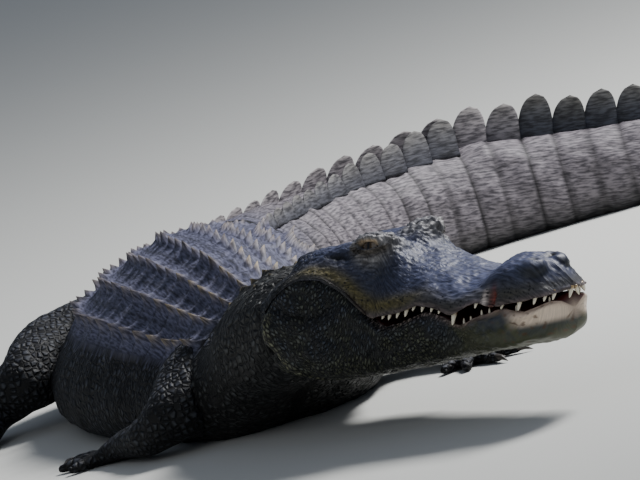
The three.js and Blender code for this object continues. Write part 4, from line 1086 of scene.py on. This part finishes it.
# Horn in thin upright blades, weathered: dark blue-grey, deepened as painted shade, worn at the top; towards
# the tail's root the blades on the right and in the single row are painted pale as painted sunlight, the left
# row only a little.
crest_hide = hide_material(
    "horn_blade_weathered", "#101216", "#272c37", "#3f4452",
    [("pale", "#aaa3a8", 0.85), ("tip", "#a8a293", 0.35), ("root", "#2b2c32", 0.6)],
    14, 0.6, 0.6, 0.9,
)
piece("tail_crest", blades, crest_hide)

# Legs and feet: each leg is one limb of scaled skin, fused with its palm and toes by a voxel remesh, so that
# the flesh runs together. The front foot has five toes and the hind one four.
DIGITS = {
    "front": dict(count=5, spread=(-62, 70), length=(46, 58, 62, 54, 42), thick=8.5, claws=3, claw=15),
    "hind": dict(count=4, spread=(-38, 48), length=(62, 84, 88, 70), thick=10.5, claws=3, claw=18),
}
LEG_VOXEL = 3.2
TRUNK_REACH = 330


def carried_ovals(middle, wide, high, around):
    """Ovals square to a line, one axis level and the other upright to it."""
    along = np.gradient(middle, axis=0)
    along /= np.linalg.norm(along, axis=1, keepdims=True)
    side = np.cross(along, [0, 0, 1])
    side /= np.linalg.norm(side, axis=1, keepdims=True)
    up = np.cross(side, along)
    turn = np.arange(around) / around * 2 * np.pi
    sideways = (wide[:, None] * np.cos(turn))[..., None] * side[:, None]
    return middle[:, None] + sideways + (high[:, None] * np.sin(turn))[..., None] * up[:, None]


def read_vectors(rows, key):
    """Three numbers for each row of a mesh's points or normals."""
    flat = np.empty(len(rows) * 3, np.float32)
    rows.foreach_get(key, flat)
    return flat.reshape(-1, 3)


body_sample = body_swollen[::3, ::3].reshape(-1, 3)
normal_sample = normals[::3, ::3].reshape(-1, 3)
# Thick folded skin: near black with polygon scales, darkened as painted shade, and grey-lavender painted
# sunlight where it faces up.
leg_hide = hide_material(
    "hide_scaled_leg", "#030304", "#0f1115", "#1d1f24",
    [("top", "#454653", 0.4)], 8, 1.8, 0.6, 0.5,
)
claw_shells = []
for kind, word, rows, side in LIMBS:
    digits = DIGITS[kind]
    middle, wide, high = limb_line(rows, side, 72)
    shells = [loft(carried_ovals(middle, wide, high, LIMB_RING))]
    palm = place(rows[-1][0], side * rows[-1][1], 0.0) * (1, 1, 0)
    wrist = place(rows[-2][0], side * rows[-2][1], 0.0) * (1, 1, 0)
    ahead = (palm - wrist) / np.linalg.norm(palm - wrist)
    for i in range(digits["count"]):
        angle = np.radians(np.interp(i, (0, digits["count"] - 1), digits["spread"])) * -side
        turned = np.array([
            ahead[0] * np.cos(angle) - ahead[1] * np.sin(angle),
            ahead[0] * np.sin(angle) + ahead[1] * np.cos(angle),
            0,
        ])
        reach, thick = digits["length"][i], digits["thick"]
        share = np.linspace(-0.1, 1.0, 16)
        knuckles = 1 + 0.08 * np.cos(share * 3 * 2 * np.pi)
        girth = thick * np.interp(share, (-0.1, 0.5, 0.9, 1), (1.1, 1, 0.75, 0.5)) * knuckles
        lying = np.interp(share, (-0.1, 0.5, 1), (thick, thick * 0.95, thick * 0.6))
        toe = palm + turned * (12 + reach * share)[:, None]
        toe[:, 2] = lying
        shells.append(loft(carried_ovals(toe, girth, girth * 0.9, 14)))
        if i < digits["claws"]:
            share = np.linspace(-0.4, 1, 10)
            claw = palm + turned * (12 + reach + digits["claw"] * share)[:, None]
            claw[:, 2] = np.interp(share, (-0.4, 0.3, 1), (thick * 0.8, thick * 0.75, thick * 0.25))
            sharp = thick * 0.48 * np.interp(share, (-0.4, 0.2, 1), (1, 0.8, 0.06))
            claw_shells.append((loft(carried_ovals(claw, sharp, sharp, 12)), {}))
    raw = bpy.data.meshes.new("raw_limb")
    corners, faces, total = [], [], 0
    for shell_points, shell_quads, shell_triangles in shells:
        corners.append(shell_points)
        faces += (shell_quads + total).tolist() + (shell_triangles + total).tolist()
        total += len(shell_points)
    raw.from_pydata(np.concatenate(corners).tolist(), [], faces)
    holder = bpy.data.objects.new("raw_limb", raw)
    bpy.context.scene.collection.objects.link(holder)
    remesh = holder.modifiers.new("fuse", "REMESH")
    remesh.mode = "VOXEL"
    remesh.voxel_size = LEG_VOXEL
    relax = holder.modifiers.new("relax", "SMOOTH")
    relax.factor = 0.5
    relax.iterations = 5
    holder_now = holder.evaluated_get(bpy.context.evaluated_depsgraph_get())
    name = kind + "_limb_" + word
    mesh = bpy.data.meshes.new_from_object(holder_now)
    mesh.name = name
    bpy.data.objects.remove(holder)
    count = len(mesh.vertices)
    points = read_vectors(mesh.vertices, "co").astype(float)
    facing = read_vectors(mesh.vertex_normals, "vector")
    # The limb swells where it is near the trunk, as the trunk does near the limb.
    close = np.linalg.norm(body_sample - middle[20], axis=1) < TRUNK_REACH
    near_points, near_normals = body_sample[close], normal_sample[close]
    nearest = np.concatenate([
        np.argmin(((part[:, None] - near_points) ** 2).sum(-1), axis=1)
        for part in np.array_split(points, max(1, count // 1500))
    ])
    apart = ((points - near_points[nearest]) * near_normals[nearest]).sum(1)
    folds = lumps(points, 30, 21) * 0.9 + lumps(points, 11, 22) * 0.35
    on_foot = ease(points[:, 2], 16, 34)
    points = points + facing * (joining(apart) + folds * on_foot)[:, None]
    points[:, 2] = np.maximum(points[:, 2], 0)
    mesh.vertices.foreach_set("co", (points * MM).astype(np.float32).ravel())
    # top: the upward faces, painted grey-lavender as painted sunlight.
    leg_masks = {"grain": points * MM, "cells": np.ones(count), "top": ease(facing[:, 2], 0.25, 0.9)}
    finish_piece(name, mesh, leg_masks, leg_hide, [kind + "_leg_" + word, kind + "_foot_" + word])

# Claws: curved horn sheaths over the last bones of the first three toes of each foot. Horn, scuffed by
# walking: almost black, satin, with grain in it.
horn, tree = new_material("horn_claw_scuffed")
ringed = add_node(tree, "ShaderNodeTexNoise", None, {"Scale": 260.0, "Detail": 5.0}).outputs["Fac"]
paint = add_node(tree, "ShaderNodeMix", {"data_type": "RGBA"},
                 {0: ringed, 6: colour("#16130f"), 7: colour("#4a4238")}).outputs[2]
scuff = add_node(
    tree, "ShaderNodeBump", None, {"Strength": 0.5, "Distance": 0.4 * MM, "Height": ringed},
).outputs[0]
close_material(tree, {"Base Color": paint, "Roughness": 0.38, "IOR": 1.54, "Normal": scuff})
piece("claws", claw_shells, horn)

# Floor: plain pale matt paint on a level slab, which isn't part of the model.
floor_mesh = bpy.data.meshes.new("floor")
floor_mesh.from_pydata([(-40, -40, 0), (40, -40, 0), (40, 40, 0), (-40, 40, 0)], [], [(0, 1, 2, 3)])
floor = bpy.data.objects.new("floor", floor_mesh)
bpy.context.scene.collection.objects.link(floor)
matt_paint, tree = new_material("paint_matt_pale")
close_material(tree, {"Base Color": colour("#c9c9c4"), "Roughness": 0.9})
floor.data.materials.append(matt_paint)

# Studio light: one large soft source high behind on the right, a weak one by the camera, pale blue air.
for name, spot, size, power in (
    ("key_light", (1.9, 0.9, 2.6), 0.9, 190), ("fill_light", (-1.2, -3.4, 2.0), 2.5, 18),
):
    lamp = bpy.data.objects.new(name, bpy.data.lights.new(name, "AREA"))
    lamp.data.size = size
    lamp.data.energy = power
    way = np.array([0.15, -0.25, 0.1]) - np.array(spot)
    forward = way / np.linalg.norm(way)
    right = np.cross(forward, [0, 0, 1])
    right /= np.linalg.norm(right)
    pose = np.eye(4)
    pose[:3, :3] = np.stack([right, np.cross(right, forward), -forward], 1)
    pose[:3, 3] = spot
    lamp.matrix_world = Matrix(pose.tolist())
    bpy.context.scene.collection.objects.link(lamp)
world = bpy.data.worlds.new("studio_air")
world.use_nodes = True
world.node_tree.nodes["Background"].inputs["Color"].default_value = colour("#bcc8dc")
world.node_tree.nodes["Background"].inputs["Strength"].default_value = 0.33
bpy.context.scene.world = world

bpy.context.view_layer.update()
